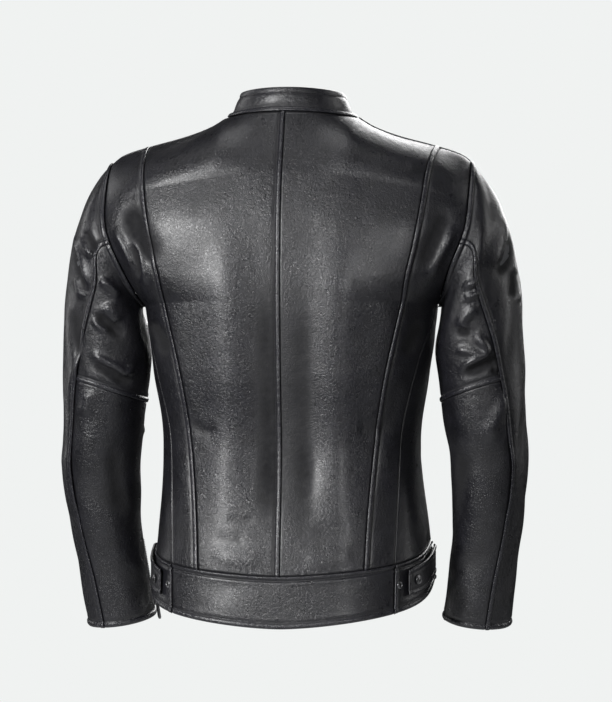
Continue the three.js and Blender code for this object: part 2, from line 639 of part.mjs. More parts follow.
/** A slider round its own middle: a channel astride the chain, with a bridge on top that holds the pull. */
function sliderGeometry() {
  const [half, long] = [SLIDER_WIDTH / 2, SLIDER_LENGTH / 2];
  const roof = CHAIN_TOP + SLIDER_CLEARANCE;
  const body = solidOf(block(V(-half, SLIDER_FOOT, -long), V(half, SLIDER_TOP, long)));
  const tunnelHalf = CHAIN_WIDTH / 2 + SLIDER_CLEARANCE;
  const tunnel = solidOf(block(V(-tunnelHalf, SLIDER_FOOT - 1, -long - 1), V(tunnelHalf, roof, long + 1)));
  const under = BAR_HEIGHT + PULL_THICK / 2 + BRIDGE_CLEARANCE;
  const reach = BRIDGE_INNER + BRIDGE_WALL;
  const arch = solidOf(block(V(-BRIDGE_WIDTH / 2, SLIDER_TOP - 0.5, -reach), V(BRIDGE_WIDTH / 2, under + 1.4, reach)));
  const eye = solidOf(block(V(-BRIDGE_WIDTH, SLIDER_TOP, -BRIDGE_INNER), V(BRIDGE_WIDTH, under, BRIDGE_INNER)));
  return geometryOf(body.subtract(tunnel).add(arch.subtract(eye)));
}

/** A pull that hangs from the bridge: a crossbar under it, a window that clears it, and a tapered plate. */
function pullGeometry() {
  const half = PULL_WIDTH / 2;
  const bar = PULL_THICK / 2;
  const outline = new THREE.Shape();
  outline.moveTo(-half, bar);
  outline.lineTo(-half, -PULL_LENGTH + half);
  outline.absarc(0, -PULL_LENGTH + half, half, Math.PI, 2 * Math.PI, false);
  outline.lineTo(half, bar);
  outline.closePath();
  const window = new THREE.Path();
  const [side, foot] = [BRIDGE_WIDTH / 2 + 1, BRIDGE_INNER + BRIDGE_WALL + 2.2];
  window.moveTo(-side, -bar);
  window.lineTo(side, -bar);
  window.lineTo(side, -foot);
  window.lineTo(-side, -foot);
  window.closePath();
  outline.holes.push(window);
  const plate = new THREE.ExtrudeGeometry(outline, { depth: PULL_THICK, bevelEnabled: false, curveSegments: 5 });
  // the plate is drawn in X and Y: Y becomes the chain's direction and its thickness points outwards
  plate.rotateX(Math.PI / 2);
  plate.translate(0, BAR_HEIGHT + PULL_THICK / 2, 0);
  return plate;
}

/** Adds chain, slider and pull to a zip's frame, with the slider's middle at the given height on the chain. */
function addZip(frame, prefix, suffix, length, sliderAt) {
  const half = CHAIN_WIDTH / 2;
  add(`${prefix}_chain${suffix}`, block(V(-half, CHAIN_FOOT, 0), V(half, CHAIN_TOP, length)), "metal", frame);
  const slider = new THREE.Group();
  slider.position.set(0, 0, sliderAt);
  frame.add(slider);
  add(`${prefix}_slider${suffix}`, sliderGeometry(), "metal", slider);
  add(`${prefix}_pull${suffix}`, pullGeometry(), "metal", slider);
}

// The front zip lies between the front edges, a little below their surface, from the hem to the collar's top.
const FRONT_SINK = 3.6;
const zipPoint = (z) => V(0, FRONT_NECK_Y + (FRONT_NECK_Z - z) * Math.tan(FRONT_LEAN), z);
const frontOut = V(0, Math.cos(FRONT_LEAN), Math.sin(FRONT_LEAN));
const FRONT_ZIP_LOW = FRONT_HEM_Z + 13;
const FRONT_ZIP_HIGH = FRONT_NECK_Z + COLLAR_HEIGHT - 3;
const frontFrame = zipFrame(
  zipPoint(FRONT_ZIP_LOW).addScaledVector(frontOut, -FRONT_SINK),
  zipPoint(FRONT_ZIP_HIGH).addScaledVector(frontOut, -FRONT_SINK),
  frontOut,
);
const FRONT_ZIP_LENGTH = zipPoint(FRONT_ZIP_LOW).distanceTo(zipPoint(FRONT_ZIP_HIGH));
addZip(frontFrame, "front_zip", "", FRONT_ZIP_LENGTH, FRONT_ZIP_LENGTH - SLIDER_LENGTH / 2);
const TAPE_TUCK = 2.2; // the tapes lie this far under the leather's inner face
for (const [word, side] of SIDES) {
  const near = side * (CHAIN_WIDTH / 2 + 0.3);
  const far = side * (CHAIN_WIDTH / 2 + TAPE_WIDTH);
  const top = FRONT_SINK - LEATHER - TAPE_TUCK;
  add(
    `front_zip_tape_${word}`,
    block(
      V(Math.min(near, far), top - TAPE_THICK, 1),
      V(Math.max(near, far), top, FRONT_ZIP_LENGTH - COLLAR_HEIGHT - 2),
    ),
    "tape",
    frontFrame,
  );
}
add(
  "front_zip_box",
  block(V(-CHAIN_WIDTH / 2 - 0.8, CHAIN_FOOT, -9), V(CHAIN_WIDTH / 2 + 0.8, CHAIN_TOP + 0.6, -0.3)),
  "metal",
  frontFrame,
);

/** A frame on a surface, whose ends are lifted until no part of the chord between them cuts the leather. */
function surfaceFrame(path, outwards, length, clearance) {
  const [low, high] = [path(0), path(1)];
  const along = high.clone().sub(low).normalize();
  const out = outwards.clone().addScaledVector(along, -outwards.dot(along)).normalize();
  let proud = 0;
  for (let i = 0; i <= 12; i += 1) {
    const rise = path(i / 12).sub(low).dot(out);
    proud = Math.max(proud, rise);
  }
  const middle = low.clone().add(high).multiplyScalar(0.5).addScaledVector(out, proud + clearance);
  return zipFrame(
    middle.clone().addScaledVector(along, -length / 2),
    middle.clone().addScaledVector(along, length / 2),
    out,
  );
}

const WELT_WIDTH = 21;
const WELT_THICK = 1.6;
const WELT_END = 9;

/** A flat leather frame round a pocket's zip. */
function weltGeometry(length) {
  const half = WELT_WIDTH / 2;
  const hole = CHAIN_WIDTH / 2 + 2.4;
  const ring = solidOf(block(V(-half, CHAIN_FOOT - 0.1, -WELT_END), V(half, CHAIN_FOOT - 0.1 + WELT_THICK, length + WELT_END)));
  const slot = solidOf(block(V(-hole, CHAIN_FOOT - 2, -0.8), V(hole, CHAIN_TOP + 2, length + 0.8)));
  return geometryOf(ring.subtract(slot));
}

for (const [word, side] of SIDES) {
  // hand pocket: nearly upright, on the side of the front panel
  const pocketPoint = (v) => {
    const t = lerp(heightShare(497), heightShare(360), v);
    const x = lerp(96, 88, v);
    const p = halfTorso(columnAt(x, t, true), t, true);
    p.x *= side;
    return p;
  };
  const middleRow = heightShare(430);
  const middleColumn = columnAt(92, middleRow, true);
  const beside = (step) => halfTorso(middleColumn + step, middleRow, true);
  const acrossPocket = beside(0.02).sub(beside(-0.02));
  const pocketOut = V(side * acrossPocket.y, -acrossPocket.x, 0).multiplyScalar(-Math.sign(acrossPocket.x));
  const pocket = surfaceFrame(pocketPoint, pocketOut, POCKET_ZIP, 3);
  addZip(pocket, "pocket_zip", `_${word}`, POCKET_ZIP, POCKET_ZIP - SLIDER_LENGTH / 2 - 2);
  add(`pocket_welt_${word}`, weltGeometry(POCKET_ZIP), "leather", pocket);

  // cuff: on the inner front of the sleeve, with the slider down at the hem
  const cuffAngle = 3.72;
  const cuffPoint = (v) => {
    const p = sleeve(cuffAngle, lerp(0.985, 0.985 - CUFF_ZIP / 560, v));
    p.x *= side;
    return p;
  };
  const cuffOut = V(side * -0.8, 0.55, 0.05);
  const cuff = surfaceFrame(cuffPoint, cuffOut, CUFF_ZIP, 2.6);
  addZip(cuff, "cuff_zip", `_${word}`, CUFF_ZIP, SLIDER_LENGTH / 2 + 1);
  const tapeHalf = TAPE_WIDTH / 2;
  add(
    `cuff_zip_tape_${word}`,
    block(V(-tapeHalf, CHAIN_FOOT - 0.3 - TAPE_THICK, -1), V(tapeHalf, CHAIN_FOOT - 0.3, CUFF_ZIP + 4)),
    "tape",
    cuff,
  );
}

// ---------------------------------------------------------------- waist adjusters

const TAB_FROM = 0.59; // the free end of the tab, as a column of the torso
const TAB_TO = 0.99; // its sewn end
const TAB_HEIGHT = 0.56; // the tab's middle, as a share of the band's height
const SNAP_COLUMN = 0.655;
const SPARE_COLUMN = 0.545;

const bandPoint = (phi, rise) => {
  const p = torso(phi, T_BAND * TAB_HEIGHT);
  p.z += rise;
  return p;
};

/** The direction out of the band at a column, level with the floor. */
function bandOut(phi) {
  const along = bandPoint(phi + 0.01, 0).sub(bandPoint(phi - 0.01, 0));
  return V(along.y, -along.x, 0).normalize();
}

/** A snap's part as a low turned button whose foot is on the band's surface plus lift. */
function button(name, phi, side, lift, radius, height, finish, dished) {
  const profilePoints = [V(0, 0, 0), V(radius, 0, 0), V(radius, height * 0.55, 0), V(radius * 0.72, height, 0)];
  profilePoints.push(...(dished ? [V(radius * 0.5, height * 0.45, 0), V(0, height * 0.45, 0)] : [V(0, height * 1.08, 0)]));
  const geometry = new THREE.LatheGeometry(profilePoints.map((p) => new THREE.Vector2(p.x, p.y)), 12);
  geometry.deleteAttribute("normal");
  geometry.deleteAttribute("uv");
  const mesh = add(name, geometry, finish);
  const out = bandOut(phi);
  const place = bandPoint(phi, 0).addScaledVector(out, lift);
  mesh.quaternion.setFromUnitVectors(Y, V(out.x * side, out.y, out.z));
  mesh.position.set(place.x * side, place.y, place.z);
  return mesh;
}

for (const [word, side] of SIDES) {
  const tabSurface = mirrored((u, v) => {
    const phi = lerp(TAB_FROM, TAB_TO, u);
    const taper = lerp(0.93, 1, smoothstep(u, 0, 0.15));
    const p = bandPoint(phi, lerp(-TAB_WIDTH / 2, TAB_WIDTH / 2, v) * taper);
    return p.addScaledVector(bandOut(phi), TAB_LIFT + TAB_THICK + 0.4);
  }, side);
  add(
    `waist_tab_${word}`,
    shell(tabSurface, TORSO_INSIDE, { us: spaced(0, 1, 10), vs: [0, 1], inner: -TAB_THICK }),
    "leather",
  );
  const capLift = TAB_LIFT + TAB_THICK + 1.4;
  button(`waist_tab_snap_${word}`, SNAP_COLUMN, side, capLift, SNAP_RADIUS, SNAP_HEIGHT, "metal", false);
  button(`waist_stud_${word}`, SNAP_COLUMN, side, 0.9, STUD_RADIUS, TAB_LIFT - 1.6, "metal", true);
  button(`waist_spare_stud_${word}`, SPARE_COLUMN, side, 0.9, STUD_RADIUS, SNAP_HEIGHT, "metal", true);
}

// ---------------------------------------------------------------- hanger loop

const LOOP_WIDTH = 62;
const LOOP_DROP = 12;
const LOOP_BAND = 6;
const LOOP_THICK = 2;

/** A flat strap bent to a shallow arch, sewn down at both feet inside the back neck. */
function hangerGeometry() {
  const outer = LOOP_WIDTH / 2;
  const shape = new THREE.Shape();
  shape.moveTo(-outer, -LOOP_DROP);
  shape.quadraticCurveTo(-outer, LOOP_THICK, 0, LOOP_THICK);
  shape.quadraticCurveTo(outer, LOOP_THICK, outer, -LOOP_DROP);
  shape.lineTo(outer - LOOP_BAND, -LOOP_DROP);
  shape.quadraticCurveTo(outer - LOOP_BAND, 0, 0, 0);
  shape.quadraticCurveTo(-outer + LOOP_BAND, 0, -outer + LOOP_BAND, -LOOP_DROP);
  shape.closePath();
  const strap = new THREE.ExtrudeGeometry(shape, { depth: LOOP_BAND, bevelEnabled: false, curveSegments: 6 });
  strap.rotateX(Math.PI / 2);
  strap.translate(0, LOOP_BAND / 2, 0);
  return strap;
}
add("hanger_loop", hangerGeometry(), "leather").position.copy(HANGER);

export default jacket;
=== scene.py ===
"""A leather riding jacket with a stand collar, dressed over its CAD frame.

Shapes are worked out in millimetres round the body's own axis, with the neck point at z = 0, the back towards
-Y and the wearer's right at +X. Meshes are written in metres in the row's frame, whose origin is the crown of
the hanger loop.
"""

from __future__ import annotations

import logging
import math
from dataclasses import dataclass, field
from enum import Enum
from typing import Callable

import bmesh
import bpy
import numpy as np
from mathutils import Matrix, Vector


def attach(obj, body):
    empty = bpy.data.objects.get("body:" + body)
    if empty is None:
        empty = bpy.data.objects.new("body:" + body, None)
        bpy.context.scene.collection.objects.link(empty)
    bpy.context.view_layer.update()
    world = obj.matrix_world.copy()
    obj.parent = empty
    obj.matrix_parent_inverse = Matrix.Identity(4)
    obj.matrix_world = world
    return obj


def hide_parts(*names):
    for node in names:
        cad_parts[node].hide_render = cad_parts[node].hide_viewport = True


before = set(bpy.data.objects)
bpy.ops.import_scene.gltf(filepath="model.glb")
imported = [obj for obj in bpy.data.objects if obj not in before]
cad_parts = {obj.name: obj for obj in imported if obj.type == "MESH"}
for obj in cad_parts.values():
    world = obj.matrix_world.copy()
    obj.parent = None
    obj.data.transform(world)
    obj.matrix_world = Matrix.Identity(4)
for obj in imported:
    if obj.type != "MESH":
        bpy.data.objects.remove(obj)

Array = np.ndarray
Surface = Callable[[Array, Array], Array]

LOG = logging.getLogger("jacket")
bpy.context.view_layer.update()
ORIGIN = np.array([0.0, 50.0, 3.0])  # from the body's axis to the row's frame, in mm
MM = 0.001
ROOT = "jacket"
VIEW_TURN = math.radians(7.3)  # the direction in which the back's folds are set out


class Side(Enum):
    """The wearer's side, as the sign of x."""

    LEFT = -1
    RIGHT = 1

    @property
    def word(self) -> str:
        """The side's word in the CAD names."""
        return self.name.lower()


SIDES = (Side.LEFT, Side.RIGHT)


# ---------------------------------------------------------------- arithmetic on whole arrays


def lerp(a: Array | float, b: Array | float, u: Array | float) -> Array | float:
    """The share u of the way from a to b."""
    return a + (b - a) * u


def smoothstep(x: Array | float, low: float, high: float) -> Array:
    """0 below low, 1 above high, and a cubic ease between."""
    u = np.clip((np.asarray(x, float) - low) / (high - low), 0, 1)
    return u * u * (3 - 2 * u)


def vec(x: Array | float, y: Array | float, z: Array | float) -> Array:
    """Points from their three coordinates, spread to one shape."""
    return np.stack(np.broadcast_arrays(x, y, z), axis=-1).astype(float)


def unit(v: Array) -> Array:
    """Vectors of length 1 in the same directions."""
    return v / np.maximum(np.linalg.norm(v, axis=-1, keepdims=True), 1e-12)


def run_length(points: Array, axis: int) -> Array:
    """The distance travelled along one axis of a grid of points, from 0 at its start.

    Args:
        points: The points, as rows of columns of (x, y, z).
        axis: The grid axis, 0 for rows and 1 for columns.

    Returns:
        The values, as an array.
    """
    steps = np.linalg.norm(np.diff(points, axis=axis), axis=-1)
    pad = [(1, 0) if k == axis else (0, 0) for k in range(2)]
    return np.pad(np.cumsum(steps, axis=axis), pad)


def sample_rows(known: Array, wanted: Array, values: Array) -> Array:
    """Reads each row of values, known at rising stations, at the wanted stations, by straight interpolation.

    Args:
        known: stations, rows by samples, rising along each row.
        wanted: stations to read, rows by columns.
        values: rows by samples, with any further axes.

    Returns:
        The values at the wanted stations.
    """
    rows, samples = known.shape
    stride = known.max() * 2 + 1
    shift = np.arange(rows)[:, None] * stride
    flat = (known + shift).ravel()
    place = np.searchsorted(flat, (wanted + shift).ravel()).reshape(
        wanted.shape
    ) - np.arange(rows)[:, None] * samples
    high = np.clip(place, 1, samples - 1)
    row = np.arange(rows)[:, None]
    a, b = known[row, high - 1], known[row, high]
    share = np.clip((wanted - a) / np.maximum(b - a, 1e-9), 0, 1)
    share = share.reshape(share.shape + (1,) * (values.ndim - 2))
    return lerp(values[row, high - 1], values[row, high], share)


class Profile:
    """A monotone cubic through (stations, sizes), so that no size overshoots between its stations."""

    def __init__(self, stations: list[float], sizes: list[float]) -> None:
        """Works out a tangent for each station: the harmonic mean of the slopes on its two sides.

        Args:
            stations: Where the sizes are given.
            sizes: The size at each station.
        """
        order = np.argsort(stations)
        self.knots = np.asarray(stations, float)[order]
        self.values = np.asarray(sizes, float)[order]
        slope = np.diff(self.values) / np.diff(self.knots)
        before, after = slope[:-1], slope[1:]
        total = np.where(before + after == 0, 1, before + after)
        inner = np.where(before * after <= 0, 0, 2 * before * after / total)
        self.tangent = np.concatenate([slope[:1], inner, slope[-1:]])

    def __call__(self, at: Array | float) -> Array:
        """The size at each station, held level outside the ends.

        Args:
            at: Where to read it.

        Returns:
            The values, as an array.
        """
        at = np.asarray(at, float)
        i = np.clip(np.searchsorted(self.knots, at, side="left") - 1, 0, len(self.knots) - 2)
        h = self.knots[i + 1] - self.knots[i]
        u = np.clip((at - self.knots[i]) / h, 0, 1)
        u2, u3 = u * u, u * u * u
        return (
            (2 * u3 - 3 * u2 + 1) * self.values[i]
            + (u3 - 2 * u2 + u) * h * self.tangent[i]
            + (3 * u2 - 2 * u3) * self.values[i + 1]
            + (u3 - u2) * h * self.tangent[i + 1]
        )


class ClosedCurve:
    """A closed centripetal Catmull-Rom curve: each span's tangents weigh its neighbours by root distance."""

    def __init__(self, points: list[tuple[float, float, float]]) -> None:
        """Works out the four cubic coefficients of every span.

        Args:
            points: The points, as rows of columns of (x, y, z).
        """
        p1 = np.asarray(points, float)
        p0, p2, p3 = np.roll(p1, 1, 0), np.roll(p1, -1, 0), np.roll(p1, -2, 0)
        root = np.sqrt(np.linalg.norm(p2 - p1, axis=1, keepdims=True))
        dt0, dt1, dt2 = np.roll(root, 1, 0), root, np.roll(root, -1, 0)
        t1 = ((p1 - p0) / dt0 - (p2 - p0) / (dt0 + dt1) + (p2 - p1) / dt1) * dt1
        t2 = ((p2 - p1) / dt1 - (p3 - p1) / (dt1 + dt2) + (p3 - p2) / dt2) * dt1
        self.spans = np.stack([p1, t1, 3 * (p2 - p1) - 2 * t1 - t2, 2 * (p1 - p2) + t1 + t2])

    def __call__(self, angle: Array | float) -> Array:
        """Points by the angle round the curve, a full turn being 2 pi.

        Args:
            angle: The angle, in radians.

        Returns:
            The values, as an array.
        """
        count = self.spans.shape[1]
        at = (np.asarray(angle, float) / (2 * math.pi)) % 1 * count
        i = np.floor(at).astype(int) % count
        u = (at - np.floor(at))[..., None]
        a, b, c, d = (self.spans[k][i] for k in range(4))
        return a + u * (b + u * (c + u * d))


def bisect(below: Callable[[Array], Array], low: Array, high: Array, steps: int = 22) -> Array:
    """Where a rising test turns false, by halving [low, high] for every element at once.

    Args:
        below: The rising test.
        low: The lowest value.
        high: The highest value.
        steps: How many halvings.

    Returns:
        The values, as an array.
    """
    for _ in range(steps):
        middle = (low + high) / 2
        under = below(middle)
        low, high = np.where(under, middle, low), np.where(under, high, middle)
    return (low + high) / 2


# ---------------------------------------------------------------- the body's form


@dataclass
class TorsoForm:
    """The torso's outer surface by phi (0 centre back, 1 side, 2 centre front) and t (0 hem, 1 neck)."""

    length: float = 655.0
    band: float = 67.0
    pit: float = 240.0
    yoke: float = 75.0
    neck_front: tuple[float, float] = (78.0, -62.0)
    hem_front_z: float = -600.0
    lean: float = math.radians(5)
    nape_y: float = -70.0
    neck_half_width: float = 86.0
    neck_side_z: float = -6.0
    boxiness: float = 0.1
    row_rise: float = 1.7
    neck_column: float = 0.36
    front_gap: float = 11.0
    armhole: ClosedCurve = field(
        default_factory=lambda: ClosedCurve(
            [
                (230, 0, -62),
                (233, -46, -94),
                (229, -75, -150),
                (209, -70, -200),
                (189, 4, -245),
                (197, 56, -214),
                (202, 66, -168),
                (217, 50, -102),
            ]
        )
    )

    def __post_init__(self) -> None:
        """Builds the profiles that the rows and seams follow."""
        share = self.share
        self.t_band, self.t_pit, self.t_yoke = share(
            self.length - self.band
        ), share(self.pit), share(self.yoke)
        rows = [0, self.t_band, share(425), share(325), self.t_pit, share(150), self.t_yoke, 1]
        pit_rows = [self.t_pit, share(205), share(120), self.t_yoke]
        self.back_y = Profile(rows, [-128, -124, -106, -117, -122, -119, -103, self.nape_y])
        self.front_z = Profile(
            rows, [self.hem_front_z, -552, -425, -325, -240, -165, -112, self.neck_front[1]]
        )
        self.side_x = Profile(rows[:5], [180, 175, 164, 177, 188])
        self.side_y = Profile(rows[:5], [34, 26, 4, 2, 4])
        self.side_z = Profile(rows[:5] + pit_rows[1:], [-596, -545, -420, -325, -245, -215, -185, -170])
        self.reach = (
            {False: Profile(pit_rows, [188, 230, 258, 259]), True: Profile(pit_rows, [188, 210, 246, 250])}
        )
        self.shoulder_z = Profile([0, 0.13, 0.34, 0.67, 0.92, 1], [self.neck_side_z, -17, -29, -42, -54, -62])
        depths = [655, 588, 520, 460, 395, 330, 285, 240, 205, 160, 110, 75, 35, 2]
        self.princess_x = Profile(
            depths, [104, 106, 109, 113, 120, 131, 141, 151, 158, 167, 174, 178, 182, 184]
        )
        self.side_seam_x = Profile([655, 588, 520, 425, 325, 262, 241], [141, 142, 144, 147, 167, 184, 187])

    def share(self, depth: float) -> float:
        """The row at a depth below the neck point."""
        return 1 - depth / self.length

    def armhole_angle(self, t: Array) -> Array:
        """Where the row t meets the armhole: 0 at the shoulder point, pi at the underarm."""
        return np.arccos(np.clip(2 * (t - self.t_pit) / (1 - self.t_pit) - 1, -1, 1))

    def neckline(self, angle: Array) -> Array:
        """The neckline by the angle round the neck from the nape: an ellipse that dips to the front.

        Args:
            angle: The angle, in radians.

        Returns:
            The points.
        """
        depth = (self.neck_front[0] - self.nape_y) / 2
        back = self.neck_side_z * np.sin(angle) ** 2
        front = self.neck_side_z - (self.neck_side_z - self.neck_front[1]) * np.cos(angle) ** 2
        z = np.where(np.cos(angle) > 0, back, front)
        return vec(self.neck_half_width * np.sin(angle), self.nape_y + depth * (1 - np.cos(angle)), z)

    def top_edge(self, s: Array, front: bool) -> Array:
        """The top edge of the back or the front: half a neckline, then the shoulder seam.

        Args:
            s: The share of the way along the row.
            front: Whether it is the front.

        Returns:
            The points.
        """
        quarter = np.clip(s / self.neck_column, 0, 1) * math.pi / 2
        round_neck = self.neckline(math.pi - quarter if front else quarter)
        u = np.clip((s - self.neck_column) / (1 - self.neck_column), 0, 1)
        neck, tip = self.neckline(np.array(math.pi / 2)), self.armhole(0.0)
        seam = vec(lerp(neck[0], tip[0], u), lerp(neck[1], tip[1], u), self.shoulder_z(u))
        return np.where((s < self.neck_column)[..., None], round_neck, seam)

    def whole_row(self, angle: Array, t: Array, front: bool) -> Array:
        """A row by the angle from its centre line: an ellipse made fuller at its corner.

        Args:
            angle: The angle, in radians.
            t: The share of the way down.
            front: Whether it is the front.

        Returns:
            The points.
        """
        if front:
            centre_z = self.front_z(t)
            centre_y = self.neck_front[0] + (self.neck_front[1] - centre_z) * math.tan(self.lean)
        else:
            centre_z, centre_y = -self.length * (1 - t), self.back_y(t)
        low = t <= self.t_pit
        side_x = np.where(low, self.side_x(t), self.reach[front](t))
        side_y = np.where(low, self.side_y(t), self.side_y(self.t_pit))
        full = 1 + self.boxiness * np.sin(2 * angle) ** 2
        return vec(
            side_x * np.sin(angle) * full,
            side_y + (centre_y - side_y) * np.cos(angle) * full,
            lerp(centre_z, self.side_z(t), (np.maximum(angle, 0) / (math.pi / 2)) ** self.row_rise),
        )

    def hanging(self, s: Array, t: Array, front: bool) -> Array:
        """The hanging part of a row, s being the share of the way along its leather.

        Args:
            s: The share of the way along the row.
            t: The share of the way down.
            front: Whether it is the front.

        Returns:
            The points.
        """
        whole = self.whole_row(s * math.pi / 2, t, front)
        angle = self.armhole_angle(t)
        seam = self.armhole(-angle if front else angle)
        forwards = 1 if front else -1
        cut = bisect(
            lambda a: self.whole_row(a, t, front)[..., 1] * forwards > seam[..., 1] * forwards,
            np.full(np.shape(t), 0.3),
            np.full(np.shape(t), math.pi / 2),
        )
        miss = seam - self.whole_row(cut, t, front)
        cut_row = self.whole_row(s * cut, t, front) + miss * (s**4)[..., None]
        return np.where((t <= self.t_pit)[..., None], whole, cut_row)

    def half(self, s: Array, t: Array, front: bool) -> Array:
        """The right half. Above the yoke row the leather turns over, a quarter round, onto the shoulder seam.

        Args:
            s: The share of the way along the row.
            t: The share of the way down.
            front: Whether it is the front.

        Returns:
            The points.
        """
        s, t = np.asarray(s, float), np.asarray(t, float)
        hung = self.hanging(s, np.minimum(t, self.t_yoke), front)
        u = np.clip((t - self.t_yoke) / (1 - self.t_yoke), 0, 1)
        top = self.top_edge(s, front)
        rounded = smoothstep(s, 0, self.neck_column)
        over, up = 1 - np.cos(u * math.pi / 2), np.sin(u * math.pi / 2)
        forward, upward = lerp(u, over, rounded), lerp(u, up, rounded)
        p = vec(
            lerp(hung[..., 0], top[..., 0], u),
            lerp(hung[..., 1], top[..., 1], forward),
            lerp(hung[..., 2], top[..., 2], upward),
        )
        end = self.hanging(np.array([1.0]), np.array([self.t_yoke]), front)[0]
        tip = self.armhole(0.0)
        plain = vec(lerp(end[0], tip[0], u), lerp(end[1], tip[1], over), lerp(end[2], tip[2], up))
        angle = self.armhole_angle(t)
        edge = self.armhole(-angle if front else angle)
        turned = p + (edge - plain) * (s**4)[..., None]
        return np.where((t <= self.t_yoke)[..., None], hung, turned)

    def point(self, phi: Array, t: Array) -> Array:
        """A point of the torso's right half, all the way round.

        Args:
            phi: The column, 0 at the middle of the back and 1 at the side.
            t: The share of the way down.

        Returns:
            The points.
        """
        phi, t = np.broadcast_arrays(np.asarray(phi, float), np.asarray(t, float))
        t = t[..., :1] if t.ndim > 1 and np.ptp(t, axis=-1).max() < 1e-12 else t
        back = self.half(np.clip(phi, 0, 1), t, False)
        front = self.half(np.clip(2 - phi, 0, 1), t, True)
        return np.where((phi <= 1)[..., None], back, front)

    def column_at(self, x: Array | float, t: Array, front: bool) -> Array:
        """The column that lies a distance x from the middle."""
        ones = np.ones(np.shape(t))
        return bisect(lambda s: self.half(s, t, front)[..., 0] < x, 0 * ones, ones)

    def princess(self, t: Array) -> Array:
        """The princess seam, which curves in from the shoulder to the waist and then drops straight."""
        return self.column_at(self.princess_x(self.length * (1 - t)), t, False)

    def side_seam(self, t: Array) -> Array:
        """The side seam, and above it the armhole end of the row."""
        low = self.column_at(self.side_seam_x(self.length * (1 - t)), t, False)
        return np.where(t < self.t_pit, low, 1.0)

    def front_edge(self, t: Array) -> Array:
        """The edge beside the front zip."""
        return 2 - self.column_at(self.front_gap / 2, t, True)


@dataclass
class SleeveForm:
    """The right sleeve by the angle round the arm (0 outwards, pi/2 to the back) and t from the armhole."""

    torso: TorsoForm
    blend: float = 0.2
    bulge: float = 12.0
    elbow: float = 0.475
    elbow_rise: float = 0.055
    sector: float = math.pi / 12

    def __post_init__(self) -> None:
        """Builds the profiles of the arm's rings and seams."""
        rows = [0, 0.13, 0.25, 0.38, 0.5, 0.62, 0.75, 0.88, 1]
        self.x = Profile(rows, [230, 236, 238, 242, 246, 251, 248, 240, 231])
        self.y = Profile(rows, [-4, 0, 4, 10, 17, 27, 40, 54, 68])
        self.z = Profile(rows, [-165, -199, -252, -318, -386, -450, -518, -586, -650])
        self.width = Profile(rows, [80, 72, 66, 57, 52.5, 50, 45.5, 43, 44])
        self.depth = Profile(rows, [76, 76, 72, 67, 62, 57, 52, 49, 50])
        self.tip = Profile(rows, [1.1, 0.92, 0.66, 0.24, 0.03, 0, -0.06, -0.1, -0.12])
        self.arm_lean = Profile(rows, [0, 0.03, 0.06, 0.09, 0.12, 0.16, 0.18, 0.19, 0.19])
        stations = [0, 0.25, 0.38, 0.5, 0.62, 0.8, 0.9, 1]
        self.back_seam = Profile(stations, [7 * self.sector, 1.33, 1.07, 0.9, 0.88, 1.04, 1.16, 1.22])
        self.front_seam = Profile([0, 0.3, 1], [16 * self.sector, 4.4, 4.3])

    def point(self, angle: Array, t: Array) -> Array:
        """A ring of the arm, blended into the armhole over its first share and standing out a little there.

        Args:
            angle: The angle, in radians.
            t: The share of the way down.

        Returns:
            The points.
        """
        angle, t = np.broadcast_arrays(np.asarray(angle, float), np.asarray(t, float))
        tip, lean = self.tip(t), self.arm_lean(t)
        outwards = vec(np.cos(tip), 0, np.sin(tip))
        backwards = vec(0, -np.cos(lean), -np.sin(lean))
        ring = (
            vec(self.x(t), self.y(t), self.z(t))
            + outwards * (self.width(t) * np.cos(angle))[..., None]
            + backwards * (self.depth(t) * np.sin(angle))[..., None]
        )
        share = np.clip(t / self.blend, 0, 1)[..., None]
        p = lerp(self.torso.armhole(angle), ring, 1 - (1 - share) ** 2)
        p[..., 0] += self.bulge * np.sin(angle) ** 2 * 6.75 * share[..., 0] * (1 - share[..., 0]) ** 2
        return p

    def start(self, angle: Array, inset: float) -> Array:
        """The t that lies a fixed distance from the armhole seam.

        Args:
            angle: The angle, in radians.
            inset: The distance from the armhole seam.

        Returns:
            The values, as an array.
        """
        seam = self.torso.armhole(angle)
        zeros = np.zeros(np.shape(angle))
        near = lambda t: np.linalg.norm(self.point(angle, t) - seam, axis=-1) < inset
        return bisect(near, zeros, zeros + self.blend, 16)

    def elbow_row(self, angle: Array) -> Array:
        """The elbow seam, which climbs towards the back seam."""
        across = (math.pi - angle) / (math.pi - float(self.back_seam(self.elbow)))
        return self.elbow - self.elbow_rise * smoothstep(np.clip(across, -0.4, 1), -0.4, 1)


TORSO = TorsoForm()
SLEEVE = SleeveForm(TORSO)


# ---------------------------------------------------------------- meshes


def new_object(name: str, points: Array, faces: Array, body: str = ROOT) -> bpy.types.Object:
    """Makes a smooth-shaded object from points in mm round the body's axis, riding on a CAD body.

    Args:
        name: the piece's name.
        points: corners, in mm.
        faces: corner indices, all with the same number of corners.
        body: the CAD body that it rides on.

    Returns:
        The object, at the origin.
    """
    mesh = bpy.data.meshes.new(name)
    points = (points.reshape(-1, 3) + ORIGIN) * MM
    count, corners = faces.shape
    mesh.vertices.add(len(points))
    mesh.vertices.foreach_set("co", points.astype(np.float32).ravel())
    mesh.loops.add(count * corners)
    mesh.loops.foreach_set("vertex_index", faces.astype(np.int32).ravel())
    mesh.polygons.add(count)
    mesh.polygons.foreach_set("loop_start", np.arange(count, dtype=np.int32) * corners)
    mesh.polygons.foreach_set("loop_total", np.full(count, corners, np.int32))
    mesh.polygons.foreach_set("use_smooth", np.ones(count, bool))
    mesh.update(calc_edges=True)
    mesh.validate()
    made = bpy.data.objects.new(name, mesh)
    bpy.context.scene.collection.objects.link(made)
    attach(made, body)
    return made


